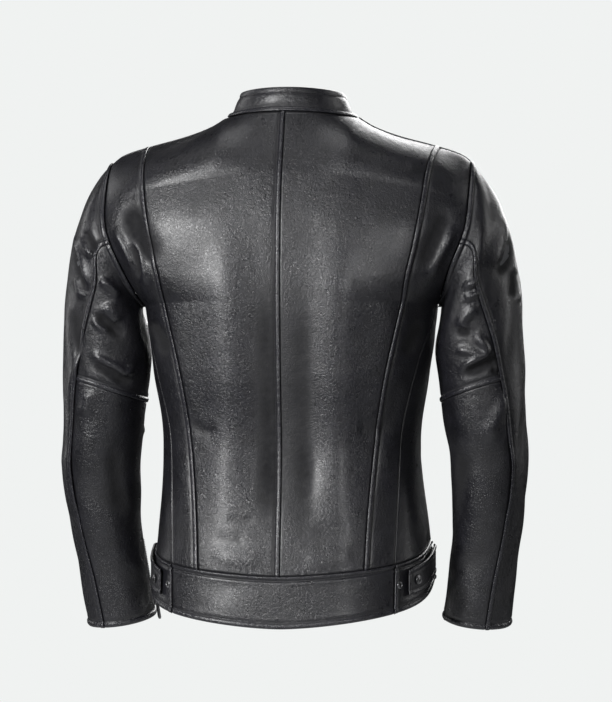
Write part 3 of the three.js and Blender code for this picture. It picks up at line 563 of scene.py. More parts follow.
def close_up(obj: bpy.types.Object, merge: float = 0.0, sides: int = 0) -> None:
    """Merges doubles, fills open rims and turns every face outward.

    Args:
        obj: The object whose mesh is closed.
        merge: How close two corners are merged, in metres; 0 leaves them alone.
        sides: The most sides that a filled rim has; 0 fills none.
    """
    mesh = bmesh.new()
    mesh.from_mesh(obj.data)
    if merge:
        bmesh.ops.remove_doubles(mesh, verts=mesh.verts, dist=merge)
    if sides:
        bmesh.ops.holes_fill(mesh, edges=[e for e in mesh.edges if e.is_boundary], sides=sides)
    bmesh.ops.recalc_face_normals(mesh, faces=mesh.faces)
    mesh.to_mesh(obj.data)
    mesh.free()


def grid_faces(rows: int, cols: int, start: int = 0, wrap: bool = False) -> Array:
    """The quads of a grid of rows by cols corners, wound from the row direction to the column direction.

    Args:
        rows: How many rows.
        cols: How many columns.
        start: The number of the first corner.
        wrap: Whether the last column meets the first.

    Returns:
        The values, as an array.
    """
    across = cols if wrap else cols - 1
    j, i = np.mgrid[0 : rows - 1, 0:across]
    nxt = (i + 1) % cols
    quads = np.stack([j * cols + i, j * cols + nxt, (j + 1) * cols + nxt, (j + 1) * cols + i], axis=-1)
    return quads.reshape(-1, 4) + start


def shell_faces(rows: int, cols: int, wrap: bool) -> Array:
    """The quads of two facing grids and the rim between them, the first grid being the outer one.

    Args:
        rows: How many rows.
        cols: How many columns.
        wrap: Whether the last column meets the first.

    Returns:
        The values, as an array.
    """
    layer = rows * cols
    outer = grid_faces(rows, cols, 0, wrap)
    inner = grid_faces(rows, cols, layer, wrap)[:, ::-1]
    i = np.arange(cols if wrap else cols - 1)
    nxt = (i + 1) % cols
    last = (rows - 1) * cols
    rims = [
        np.stack([i + layer, nxt + layer, nxt, i], axis=-1),
        np.stack([i + last, nxt + last, nxt + last + layer, i + last + layer], axis=-1),
    ]
    if not wrap:
        j = np.arange(rows - 1) * cols
        rims.append(np.stack([j, j + cols, j + cols + layer, j + layer], axis=-1))
        e = j + cols - 1
        rims.append(np.stack([e + layer, e + cols + layer, e + cols, e], axis=-1))
    return np.concatenate([outer, inner, *rims])


def set_float(obj: bpy.types.Object, name: str, values: Array) -> None:
    """Stores one number per corner, for the materials to read."""
    attribute = obj.data.attributes.new(name, "FLOAT", "POINT")
    attribute.data.foreach_set("value", values.astype(np.float32).ravel())


def set_uv(obj: bpy.types.Object, coords: Array) -> None:
    """Stores a UV map from one pair per corner, in metres along the piece.

    Args:
        obj: The object.
        coords: One pair per corner.
    """
    layer = obj.data.uv_layers.new(name="along")
    index = np.empty(len(obj.data.loops), np.int32)
    obj.data.loops.foreach_get("vertex_index", index)
    layer.data.foreach_set("uv", coords[index].astype(np.float32).ravel())


class EdgeKind(Enum):
    """How a panel's edge is made up."""

    PLAIN = "cut edge"
    LOW = "tucked under its neighbour"
    DEEP = "tucked well under its neighbour"
    STRIP = "folded over the seam and topstitched"
    FREE = "turned and topstitched"
    HEM = "rolled hem"
    WELT = "double welt"


EDGE_RELIEF: dict[EdgeKind, Profile] = {
    EdgeKind.PLAIN: Profile([0, 1], [0, 0]),
    EdgeKind.LOW: Profile([-2.4, -0.4, 0.0, 0.5, 1.2, 2.4], [-1.4, -1.3, -1.1, -0.55, -0.2, 0]),
    EdgeKind.DEEP: Profile([-6.5, -0.4, 0.0, 0.5, 1.2, 2.4], [-1.7, -1.4, -1.1, -0.55, -0.2, 0]),
    EdgeKind.STRIP: Profile(
        [-0.5, -0.2, 0.6, 2.6, 5.2, 6.6, 7.8, 10, 13], [-0.7, 0.6, 1.5, 1.85, 1.3, -0.95, -0.65, -0.1, 0]
    ),
    EdgeKind.FREE: Profile([0, 1.2, 3.2, 5.6, 6.8, 8, 10, 13], [0, 0.5, 0.75, 0.45, -0.45, -0.2, 0.1, 0]),
    EdgeKind.HEM: Profile([0, 1.6, 3.6, 6.4, 7.6, 8.8, 11, 15], [0, 0.9, 1.35, 0.85, -0.65, -0.45, 0.15, 0]),
    EdgeKind.WELT: Profile(
        [0, 0.6, 1.6, 3.2, 4.4, 5.6, 7, 8.6, 11, 15], [-1.2, 0.5, 1.6, 1.5, 0.5, -0.9, -0.6, 0.55, 0.3, 0]
    ),
}
EDGE_TUCK = {  # how far an edge runs on past the seam, under or over its neighbour
    EdgeKind.LOW: np.array([2.4, 1.2, 0.4]),
    EdgeKind.DEEP: np.array([6.5, 4.4, 2.4, 0.8]),
    EdgeKind.STRIP: np.array([0.5, 0.25]),
}
EDGE_STITCH: dict[EdgeKind, tuple[float, ...]] = {
    EdgeKind.STRIP: (7.0,),
    EdgeKind.FREE: (6.9,),
    EdgeKind.HEM: (7.8,),
    EdgeKind.WELT: (6.0,),
}
ROLL = 1.1  # radius of a leather edge
NEAR_EDGE = np.array([0, 0.12, 0.45, 0.95, 1.6, 2.4, 3.2, 4.1, 5.2, 6.0, 6.8, 7.8, 9, 11, 13.5])


FOLD_DEPTH = 1.7  # how strongly every fold is drawn


@dataclass(frozen=True)
class Fold:
    """A ridge, or a valley where its height is negative, along a path seen square on."""

    path: tuple[tuple[float, float], ...]
    height: float
    width: float
    front: bool = False

    def smooth(self, count: int = 36) -> Array:
        """The path as many short steps, rounded off by a running mean of its straight spans.

        Args:
            count: How many points.

        Returns:
            The points.
        """
        points = np.asarray(self.path, float)
        run = np.concatenate([[0], np.cumsum(np.linalg.norm(np.diff(points, axis=0), axis=1))])
        at = np.linspace(0, run[-1], count)
        line = np.stack([np.interp(at, run, points[:, k]) for k in range(2)], axis=-1)
        for _ in range(3):
            line[1:-1] = (line[:-2] + 2 * line[1:-1] + line[2:]) / 4
        return line

    def relief(self, points: Array, normals: Array) -> Array:
        """The height that the fold adds: a bell across its path that eases out at both ends.

        Args:
            points: the surface in mm, with any leading shape.
            normals: its outward directions.

        Returns:
            The height at each point, in mm.
        """
        turn = -VIEW_TURN if self.front else VIEW_TURN
        across = points[..., 0] * math.cos(turn) + (points[..., 1] + 70) * math.sin(turn)
        seen = np.stack([across, points[..., 2]], axis=-1)
        facing = normals[..., 1] * (1 if self.front else -1)
        line = self.smooth()
        low, high = line.min(axis=0) - 3.2 * self.width, line.max(axis=0) + 3.2 * self.width
        near = np.all((seen > low) & (seen < high), axis=-1) & (facing > -0.15)
        out = np.zeros(seen.shape[:-1])
        if not near.any():
            return out
        q = seen[near][:, None]
        a, b = line[:-1], line[1:]
        ab = b - a
        u = np.clip(((q - a) * ab).sum(-1) / (ab * ab).sum(-1), 0, 1)
        gap = np.linalg.norm(q - (a + ab * u[..., None]), axis=-1)
        nearest = gap.argmin(axis=1)
        distance = gap[np.arange(len(gap)), nearest]
        along = (nearest + u[np.arange(len(gap)), nearest]) / (len(line) - 1)
        ease = smoothstep(along, 0, 0.28) * smoothstep(1 - along, 0, 0.28)
        fade = smoothstep(facing[near], -0.1, 0.3)
        out[near] = FOLD_DEPTH * self.height * np.exp(-((distance / self.width) ** 2)) * ease * fade
        return out


@dataclass(frozen=True)
class Drape:
    """Soft seeded undulation: a sum of plane waves in the leather's own coordinates."""

    seed: int
    height: float = 0.9
    wave: tuple[float, float] = (45.0, 150.0)
    waves: int = 18

    def relief(self, along: Array, up: Array) -> Array:
        """The sum of the waves at each place, scaled to the height.

        Args:
            along: Distance along the piece.
            up: Distance up the piece.

        Returns:
            The values, as an array.
        """
        rng = np.random.default_rng(self.seed)
        total = np.zeros(np.shape(along))
        for _ in range(self.waves):
            size, turn, phase = rng.uniform(*self.wave), rng.uniform(0, math.pi), rng.uniform(0, 2 * math.pi)
            weight = size / self.wave[1]
            total += weight * np.sin(
                (along * math.cos(turn) + up * math.sin(turn)) * 2 * math.pi / size + phase
            )
        return self.height * total / math.sqrt(self.waves / 2)


@dataclass
class Panel:
    """One cut piece of leather or cloth over a surface: a closed thin shell with made-up edges.

    u runs along each row and v up the columns. Rows are resampled so that corners lie at fixed distances from
    the edges, where the seams' relief needs them.
    """

    name: str
    surface: Surface
    inside: Array
    replaces: tuple[str, ...]
    edges: dict[str, EdgeKind] = field(default_factory=dict)
    thick: float = 1.9
    lift: float = 0.0
    step: float = 3.2
    folds: tuple[Fold, ...] = ()
    drape: Drape | None = None
    extra: Callable[[Array, Array, Array], Array] | None = None
    pucker: float = 0.28
    wrap: bool = False
    body: str = ROOT
    held: str = "stretched"
    rests_on: tuple[str, ...] = ()
    slot: str = "leather"
    EDGES = ("start", "end", "low", "high")

    def stations(self, length: float) -> Array:
        """Distances along an edge-to-edge length: close at both ends and even between.

        Args:
            length: The lengths from edge to edge.

        Returns:
            The values, as an array.
        """
        near = NEAR_EDGE[NEAR_EDGE < length * 0.4]
        middle_from, middle_to = near[-1], length - near[-1]
        steps = max(2, int(round((middle_to - middle_from) / self.step)))
        middle = np.linspace(middle_from, middle_to, steps + 1)[1:-1]
        return np.concatenate([near, middle, (length - near)[::-1]])

    def lay_out(self) -> None:
        """Samples the surface at the wanted distances and works out how far each corner is from each edge."""
        fine_v = np.linspace(0, 1, 60)[:, None]
        fine_u = np.linspace(0, 1, 161)[None, :]
        rough = self.surface(np.broadcast_to(fine_u, (60, 161)), np.broadcast_to(fine_v, (60, 161)))
        self.length = float(run_length(rough, 0)[-1].max())
        self.width = float(run_length(rough, 1)[:, -1].max())
        v = self.stations(self.length) / self.length
        shape = (len(v), 161)
        dense = self.surface(np.broadcast_to(fine_u, shape), np.broadcast_to(v[:, None], shape))
        run = run_length(dense, 1)
        if self.wrap:
            count = int(self.width / self.step)
            share = np.linspace(0, 1, count, endpoint=False)[None, :]
            wanted = share * run[:, -1:]
        else:
            plan = self.stations(self.width)
            near = plan[: len(NEAR_EDGE)]
            far = self.width - plan[-len(NEAR_EDGE) :]
            middle = plan[len(NEAR_EDGE) : -len(NEAR_EDGE)]
            share = (middle - near[-1]) / (self.width - near[-1] - far[0])
            squeeze = np.clip(run[:, -1:] / (near[-1] + far[0] + 8), 0, 1)
            wanted = np.concatenate(
                [
                    near * squeeze,
                    lerp(near[-1] * squeeze, run[:, -1:] - far[0] * squeeze, share),
                    run[:, -1:] - far * squeeze,
                ],
                axis=1,
            )
        self.base = sample_rows(run, wanted, dense)
        tucks = (
            {where: EDGE_TUCK.get(self.edges.get(where, EdgeKind.PLAIN), np.zeros(0)) for where in self.EDGES}
        )
        self.base = self.run_on(self.base, tucks["start"], tucks["end"], 1)
        self.base = self.run_on(self.base, tucks["low"], tucks["high"], 0)
        self.along = run_length(self.base, 1)
        self.up = run_length(self.base, 0)
        reach = {where: tuck.max(initial=0) for where, tuck in tucks.items()}
        self.gaps = {
            "start": self.along - reach["start"],
            "end": self.along[:, -1:] - self.along - reach["end"],
            "low": self.up - reach["low"],
            "high": self.up[-1:] - self.up - reach["high"],
        }
        self.rims = {where: gap + reach[where] for where, gap in self.gaps.items()}
        self.normal = self.outward(self.base)

    @staticmethod
    def run_on(points: Array, before: Array, after: Array, axis: int) -> Array:
        """Carries a grid straight on past its first and last lines, by the distances given.

        Args:
            points: The points, as rows of columns of (x, y, z).
            before: Distances before the first line.
            after: Distances past the last line.
            axis: The grid axis, 0 for rows and 1 for columns.

        Returns:
            The points.
        """
        p = points if axis == 1 else points.transpose(1, 0, 2)
        first, last = unit(p[:, 0] - p[:, 3]), unit(p[:, -1] - p[:, -4])
        head = p[:, :1] + first[:, None] * before[None, :, None]
        tail = p[:, -1:] + last[:, None] * after[::-1][None, :, None]
        p = np.concatenate([head, p, tail], axis=1)
        return p if axis == 1 else p.transpose(1, 0, 2)

    def outward(self, points: Array) -> Array:
        """Unit normals of a grid, away from the hollow side.

        Args:
            points: The points, as rows of columns of (x, y, z).

        Returns:
            The values, as an array.
        """
        if self.wrap:
            across = np.roll(points, -1, 1) - np.roll(points, 1, 1)
        else:
            across = np.gradient(points, axis=1)
        n = unit(np.cross(across, np.gradient(points, axis=0)))
        side = np.sign(((points - self.inside) * n).sum(-1).mean())
        self.flipped = side < 0
        return n * (side or 1)

    def relief(self) -> Array:
        """The height of the leather over the plain surface: edges, puckers, folds, drape and extras.

        Returns:
            The values, as an array.
        """
        height = np.full(self.along.shape, self.lift)
        wear = np.zeros(self.along.shape)
        self.roll = np.zeros(self.along.shape)
        rng = np.random.default_rng(len(self.name) * 7 + 3)
        for where, gap in self.gaps.items():
            if self.wrap and where in ("start", "end"):
                continue
            kind = self.edges.get(where, EdgeKind.PLAIN)
            profile = EDGE_RELIEF[kind]
            height += profile(gap)
            rim = np.clip(self.rims[where] / ROLL, 0, 1)
            self.roll = np.maximum(self.roll, 1 - np.sqrt(np.clip(1 - (1 - rim) ** 2, 0, 1)))
            run = self.up if where in ("start", "end") else self.along
            if kind is not EdgeKind.PLAIN:
                drift = 1.3 * np.sin(run / 23 + rng.uniform(0, 6)) + 0.8 * np.sin(
                    run / 9.7 + rng.uniform(0, 6)
                )
                ripple = np.sin(2 * math.pi * run / 8.2 + drift) * (0.5 + 0.5 * np.sin(run / 17 + drift))
                pull = (0.6 if kind in (EdgeKind.LOW, EdgeKind.DEEP) else 1) * self.pucker * ripple
                height += pull * np.exp(-(((gap - 3.5) / 5.0) ** 2)) * smoothstep(gap, 0.8, 2.5)
                wear = np.maximum(wear, np.clip(profile(gap), 0, 1.2) / 1.2)
        if self.drape:
            calm = np.minimum.reduce(
                [smoothstep(g, 0, 25) for g in self.gaps.values()]
            ) if not self.wrap else 1
            height += self.drape.relief(self.along, self.up) * lerp(0.35, 1, calm)
        folded = sum((f.relief(self.base, self.normal) for f in self.folds), np.zeros(self.along.shape))
        height += folded
        if self.extra:
            height += self.extra(self.base, self.along, self.up)
        self.wear = np.clip(wear + np.clip(folded / 6, 0, 0.6), 0, 1)
        return height

    def build(self) -> bpy.types.Object:
        """Returns:
            The object.
        """
        self.lay_out()
        height = self.relief()
        half = self.thick / 2
        lifted = self.base + self.normal * height[..., None]
        normal = self.outward(lifted)
        self.outer = lifted - normal * (self.roll * (half - 0.06))[..., None]
        inner = lifted - normal * (self.thick - self.roll * (half - 0.06))[..., None]
        self.outer_normal = normal
        rows, cols = self.along.shape
        faces = shell_faces(rows, cols, self.wrap)
        sample = np.cross(self.outer[1, 2] - self.outer[1, 1], self.outer[2, 1] - self.outer[1, 1])
        if (sample * normal[1, 1]).sum() < 0:
            faces = faces[:, ::-1]
        made = new_object(
            self.name, np.concatenate([self.outer.reshape(-1, 3), inner.reshape(-1, 3)]), faces, self.body
        )
        set_float(made, "wear", np.concatenate([self.wear.ravel(), np.zeros(self.wear.size)]))
        # hollow: how far the outer face sinks below the plain surface, up to 3 mm, and 1 over the whole inner
        # face; the leather material uses it to paint shade, darkening the colour in grooves and hollows, and
        # to make the surface rougher there
        set_float(made, "hollow", np.concatenate([np.clip(-height, 0, 3).ravel() / 3, np.ones(height.size)]))
        uv = np.stack([self.along, self.up], axis=-1).reshape(-1, 2) * MM
        set_uv(made, np.concatenate([uv, uv]))
        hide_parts(*self.replaces)
        area = float(self.patch_area(self.base)) * MM * MM
        flat_width = float(self.along[:, -1].max() + (self.step if self.wrap else 0)) * MM
        flat_length = float(self.up[-1].max()) * MM
        area = min(max(area, 0.301 * flat_width * flat_length), flat_width * flat_length)
        list(self.rests_on)
        cut = (flat_width / MM, flat_length / MM)
        LOG.info("%s: %d corners, cut %.0f x %.0f mm", self.name, rows * cols * 2, *cut)
        return made

    def patch_area(self, points: Array) -> float:
        """The area of a grid, as half the lengths of its cells' crossed diagonals.

        Args:
            points: The points, as rows of columns of (x, y, z).

        Returns:
            The value.
        """
        if self.wrap:
            points = np.concatenate([points, points[:, :1]], axis=1)
        one = points[1:, 1:] - points[:-1, :-1]
        two = points[1:, :-1] - points[:-1, 1:]
        return float(np.linalg.norm(np.cross(one, two), axis=-1).sum() / 2)

    def line(self, where: str, gap: float) -> tuple[Array, Array]:
        """The finished surface's points and normals along a line at a distance from one edge.

        Args:
            where: The name of the edge.
            gap: The distance from that edge.

        Returns:
            The points and the normals.
        """
        axis = 0 if where in ("start", "end") else 1
        known = self.gaps[where]
        values = np.concatenate([self.outer, self.outer_normal], axis=-1)
        if axis == 1:
            known, values = known.T, values.transpose(1, 0, 2)
        if where in ("end", "high"):
            known, values = known[:, ::-1], values[:, ::-1]
        found = sample_rows(known, np.full((len(known), 1), gap), values)[:, 0]
        return found[:, :3], unit(found[:, 3:])


class Thread:
    """Topstitching: short waxed stitches along lines on the leather, gathered into one mesh."""

    def __init__(self, pitch: float = 3.4, length: float = 2.5, radius: float = 0.36) -> None:
        """Keeps the stitch's sizes, in mm.

        Args:
            pitch: From one stitch to the next.
            length: The length of a stitch.
            radius: The radius.
        """
        self.pitch, self.length, self.radius = pitch, length, radius
        self.points: list[Array] = []
        self.normals: list[Array] = []
        self.tangents: list[Array] = []

    def sew(self, path: Array, normals: Array, trim: float = 4.0) -> None:
        """Adds stitches at an even pitch along a path.

        Args:
            path: The points of the path.
            normals: The outward direction at each point.
            trim: How much is left free at each end.
        """
        run = np.concatenate([[0], np.cumsum(np.linalg.norm(np.diff(path, axis=0), axis=1))])
        at = np.arange(trim, run[-1] - trim, self.pitch)
        if len(at) < 2:
            return
        keep = np.concatenate([[True], np.diff(run) > 1e-6])
        run, path, normals = run[keep], path[keep], normals[keep]
        spot = np.stack([np.interp(at, run, path[:, k]) for k in range(3)], axis=-1)
        ahead = np.stack([np.interp(at + 0.4, run, path[:, k]) for k in range(3)], axis=-1)
        behind = np.stack([np.interp(at - 0.4, run, path[:, k]) for k in range(3)], axis=-1)
        self.points.append(spot)
        self.normals.append(unit(np.stack([np.interp(at, run, normals[:, k]) for k in range(3)], axis=-1)))
        self.tangents.append(unit(ahead - behind))

    def sew_edges(self, panel: Panel) -> None:
        """Sews every topstitched edge of a panel.

        Args:
            panel: The panel.
        """
        for where, kind in panel.edges.items():
            for gap in EDGE_STITCH.get(kind, ()):
                self.sew(*panel.line(where, gap))

    def build(self, name: str, body: str = ROOT) -> bpy.types.Object:
        """Makes all the stitches: each a five-sided spindle that dips into the leather at both ends.

        Args:
            name: The name of the piece.
            body: The body that it rides.

        Returns:
            The object.
        """
        p, n, t = (np.concatenate(x) for x in (self.points, self.normals, self.tangents))
        side = unit(np.cross(n, t))
        station = np.array([-0.5, -0.3, 0.3, 0.5])
        swell = np.array([0.35, 1.0, 1.0, 0.35]) * self.radius
        sink = np.array([-0.45, 0.12, 0.12, -0.45])
        turn = np.arange(5) * 2 * math.pi / 5
        centre = (
            p[:, None] + t[:, None] * (station * self.length)[None, :, None]
            + n[:, None] * sink[None, :, None]
        )
        ring = (
            centre[:, :, None]
            + side[:, None, None] * (swell[:, None] * np.cos(turn))[None, :, :, None]
            + n[:, None, None] * (swell[:, None] * np.sin(turn) * 0.8)[None, :, :, None]
        )
        one = grid_faces(4, 5, wrap=True)
        faces = (one[None] + (np.arange(len(p)) * 20)[:, None, None]).reshape(-1, 4)
        made = new_object(name, ring, faces[:, ::-1], body)
        close_up(made, sides=5)
        LOG.info("%s: %d stitches", name, len(p))
        return made


# ---------------------------------------------------------------- finishes


class Nodes:
    """A small hand for wiring one node tree."""

    def __init__(self, tree: bpy.types.NodeTree) -> None:
        """Takes an empty tree."""
        self.tree = tree
        self.column = 0

    def add(self, kind: str, **settings: object) -> bpy.types.Node:
        """Adds a node of a kind and sets its properties.

        Args:
            kind: The kind of node.
            settings: Its properties by name.

        Returns:
            The node.
        """
        node = self.tree.nodes.new(kind)
        node.location = (self.column * 180, 0)
        self.column += 1
        for key, value in settings.items():
            setattr(node, key, value)
        return node

    def link(self, source: bpy.types.NodeSocket, target: bpy.types.NodeSocket) -> None:
        """Joins two sockets."""
        self.tree.links.new(source, target)

    def feed(self, socket: bpy.types.NodeSocket, value: object) -> None:
        """Links a socket, or sets a plain value, onto an input.

        Args:
            socket: The input socket.
            value: A socket or a plain value.
        """
        if isinstance(value, bpy.types.NodeSocket):
            self.link(value, socket)
        else:
            socket.default_value = value

    def math(self, operation: str, a: object, b: object = 0.0, clamp: bool = False) -> bpy.types.NodeSocket:
        """One step of arithmetic.

        Args:
            operation: The operation.
            a: The first operand.
            b: The second operand.
            clamp: Whether the result is held between 0 and 1.

        Returns:
            The output socket.
        """
        node = self.add("ShaderNodeMath", operation=operation, use_clamp=clamp)
        self.feed(node.inputs[0], a)
        self.feed(node.inputs[1], b)
        return node.outputs[0]

    def fit(
        self, value: object, low: float, high: float, to_low: float, to_high: float
    ) -> bpy.types.NodeSocket:
        """Maps low..high to to_low..to_high, held at both ends.

        Args:
            value: A socket or a plain value.
            low: The lowest value.
            high: The highest value.
            to_low: The value at low.
            to_high: The value at high.

        Returns:
            The output socket.
        """
        node = self.add("ShaderNodeMapRange")
        self.feed(node.inputs["Value"], value)
        for name, number in (("From Min", low), ("From Max", high), ("To Min", to_low), ("To Max", to_high)):
            node.inputs[name].default_value = number
        return node.outputs["Result"]

    def mix(self, share: object, a: object, b: object) -> bpy.types.NodeSocket:
        """A mix of two colours.

        Args:
            share: How much of the second colour.
            a: The first colour.
            b: The second colour.

        Returns:
            The output socket.
        """
        node = self.add("ShaderNodeMix", data_type="RGBA")
        self.feed(node.inputs["Factor"], share)
        self.feed(node.inputs["A"], a)
        self.feed(node.inputs["B"], b)
        return node.outputs["Result"]

    def noise(
        self, vector: object, scale: float, detail: float = 2.0, rough: float = 0.5
    ) -> bpy.types.NodeSocket:
        """Fractal noise, from 0 to 1.

        Args:
            vector: Where the noise is read.
            scale: Its scale.
            detail: Its octaves.
            rough: How strong the finer octaves are.

        Returns:
            The output socket.
        """
        node = self.add("ShaderNodeTexNoise")
        self.feed(node.inputs["Vector"], vector)
        self.feed(node.inputs["Scale"], scale)
        node.inputs["Detail"].default_value = detail
        node.inputs["Roughness"].default_value = rough
        return node.outputs["Fac"]

    def bump(
        self, height: object, strength: float, distance: float, under: object = None
    ) -> bpy.types.NodeSocket:
        """A normal from a height, over another normal.

        Args:
            height: The height.
            strength: The strength.
            distance: The depth of a full step, in metres.
            under: A normal to start from.

        Returns:
            The output socket.
        """
        node = self.add("ShaderNodeBump")
        self.feed(node.inputs["Height"], height)
        node.inputs["Strength"].default_value = strength
        node.inputs["Distance"].default_value = distance
        if under is not None:
            self.link(under, node.inputs["Normal"])
        return node.outputs["Normal"]


def node_group(name: str, inputs: dict[str, tuple[str, float]], outputs: tuple[str, ...]) -> tuple:
    """Starts a shader node group.

    Args:
        name: the group's name.
        inputs: each input's socket type and starting value.
        outputs: the names of the values that it puts out.

    Returns:
        The group, its hand for wiring, its input node and its output node.
    """
    group = bpy.data.node_groups.new(name, "ShaderNodeTree")
    for label, (kind, value) in inputs.items():
        socket = group.interface.new_socket(label, in_out="INPUT", socket_type=kind)
        if kind == "NodeSocketFloat":
            socket.default_value = value
    for label in outputs:
        group.interface.new_socket(label, in_out="OUTPUT", socket_type="NodeSocketFloat")
    hand = Nodes(group)
    return group, hand, hand.add("NodeGroupInput"), hand.add("NodeGroupOutput")


class Effects:
    """The shared effects: hide grain, cloth weave and rubbed edges."""

    def __init__(self) -> None:
        """Builds each group once."""
        self.grain = self.make_grain()
        self.weave = self.make_weave()
        self.rub = self.make_rub()

    def make_grain(self) -> bpy.types.NodeTree:
        """Cowhide: fine pebbles between creases, in loose patches of tight and open grain.

        Returns:
            The node group.
        """
        inputs = {"Vector": ("NodeSocketVector", 0.0), "Pebbles": ("NodeSocketFloat", 640.0)}
        group, n, source, out = node_group("hide grain", inputs, ("Pebble", "Crease", "Patch"))
        vector, scale = source.outputs["Vector"], source.outputs["Pebbles"]
        drift = n.add("ShaderNodeTexNoise")
        n.link(vector, drift.inputs["Vector"])
        drift.inputs["Scale"].default_value = 320
        push = n.add("ShaderNodeVectorMath", operation="SCALE")
        n.link(drift.outputs["Color"], push.inputs[0])
        push.inputs["Scale"].default_value = 0.0022
        moved = n.add("ShaderNodeVectorMath", operation="ADD")
        n.link(vector, moved.inputs[0])
        n.link(push.outputs[0], moved.inputs[1])
        cells = n.add("ShaderNodeTexVoronoi", feature="DISTANCE_TO_EDGE")
        n.link(moved.outputs[0], cells.inputs["Vector"])
        n.link(scale, cells.inputs["Scale"])
        pebble = n.fit(cells.outputs["Distance"], 0.0, 0.28, 0.0, 1.0)
        n.link(pebble, out.inputs["Pebble"])
        open_cells = n.add("ShaderNodeTexVoronoi", feature="DISTANCE_TO_EDGE")
        n.link(moved.outputs[0], open_cells.inputs["Vector"])
        n.link(n.math("MULTIPLY", scale, 0.33), open_cells.inputs["Scale"])
        n.link(n.fit(open_cells.outputs["Distance"], 0.0, 0.16, 0.0, 1.0), out.inputs["Crease"])
        n.link(n.noise(vector, 46, 4, 0.6), out.inputs["Patch"])
        return group

    def make_weave(self) -> bpy.types.NodeTree:
        """Plain weave on a UV map in metres: two crossed sets of rounded yarns, over and under in turn.

        Returns:
            The node group.
        """
        inputs = {"UV": ("NodeSocketVector", 0.0), "Yarns": ("NodeSocketFloat", 1400.0)}
        group, n, source, out = node_group("cloth weave", inputs, ("Height", "Slub"))
        scaled = n.add("ShaderNodeVectorMath", operation="SCALE")
        n.link(source.outputs["UV"], scaled.inputs[0])
        n.link(source.outputs["Yarns"], scaled.inputs["Scale"])
        parts = n.add("ShaderNodeSeparateXYZ")
        n.link(scaled.outputs[0], parts.inputs[0])
        warp = n.math("ABSOLUTE", n.math("SINE", n.math("MULTIPLY", parts.outputs["X"], math.pi)))
        weft = n.math("ABSOLUTE", n.math("SINE", n.math("MULTIPLY", parts.outputs["Y"], math.pi)))
        over = n.add("ShaderNodeTexChecker")
        n.link(scaled.outputs[0], over.inputs["Vector"])
        over.inputs["Scale"].default_value = 1.0
        share = over.outputs["Fac"]
        rest = n.math("SUBTRACT", 1.0, share)
        height = n.math("ADD", n.math("MULTIPLY", warp, share), n.math("MULTIPLY", weft, rest))
        n.link(height, out.inputs["Height"])
        n.link(n.noise(source.outputs["UV"], 90, 3), out.inputs["Slub"])
        return group

    def make_rub(self) -> bpy.types.NodeTree:
        """Where an edge has been rubbed: its stored wear, broken up by noise.

        Returns:
            The node group.
        """
        inputs = {"Vector": ("NodeSocketVector", 0.0), "Wear": ("NodeSocketFloat", 0.0)}
        group, n, source, out = node_group("rubbed edge", inputs, ("Mask",))
        broken = n.fit(n.noise(source.outputs["Vector"], 150, 5, 0.65), 0.35, 0.7, 0.0, 1.0)
        n.link(n.math("MULTIPLY", source.outputs["Wear"], broken, clamp=True), out.inputs["Mask"])
        return group


def place_group(n: Nodes, group: bpy.types.NodeTree, **values: object) -> bpy.types.Node:
    """Places a shared effect with its own values.

    Args:
        n: The node helper.
        group: The shared effect.
        values: Its input values by name.

    Returns:
        The node.
    """
    node = n.add("ShaderNodeGroup", node_tree=group)
    for name, value in values.items():
        n.feed(node.inputs[name], value)
    return node


@dataclass(frozen=True)
class Finish:
    """The start of any material: its name and how glossy and dark it is."""

    name: str
    colour: tuple[float, float, float]
    roughness: float = 0.5

    def start(self) -> tuple[bpy.types.Material, Nodes, bpy.types.Node, bpy.types.NodeSocket]:
        """Makes the material, its hand, its Principled shader and its Object coordinates.

        Returns:
            The values.
        """
        material = bpy.data.materials.new(self.name)
        material.use_nodes = True
        material.diffuse_color = (*self.colour, 1)
        n = Nodes(material.node_tree)
        shader = material.node_tree.nodes["Principled BSDF"]
        shader.inputs["Base Color"].default_value = (*self.colour, 1)
        shader.inputs["Roughness"].default_value = self.roughness
        coords = n.add("ShaderNodeTexCoord").outputs["Object"]
        return material, n, shader, coords

    def shade(self, factor: float) -> tuple[float, float, float, float]:
        """The finish's colour, lighter or darker."""
        return (*(c * factor for c in self.colour), 1.0)


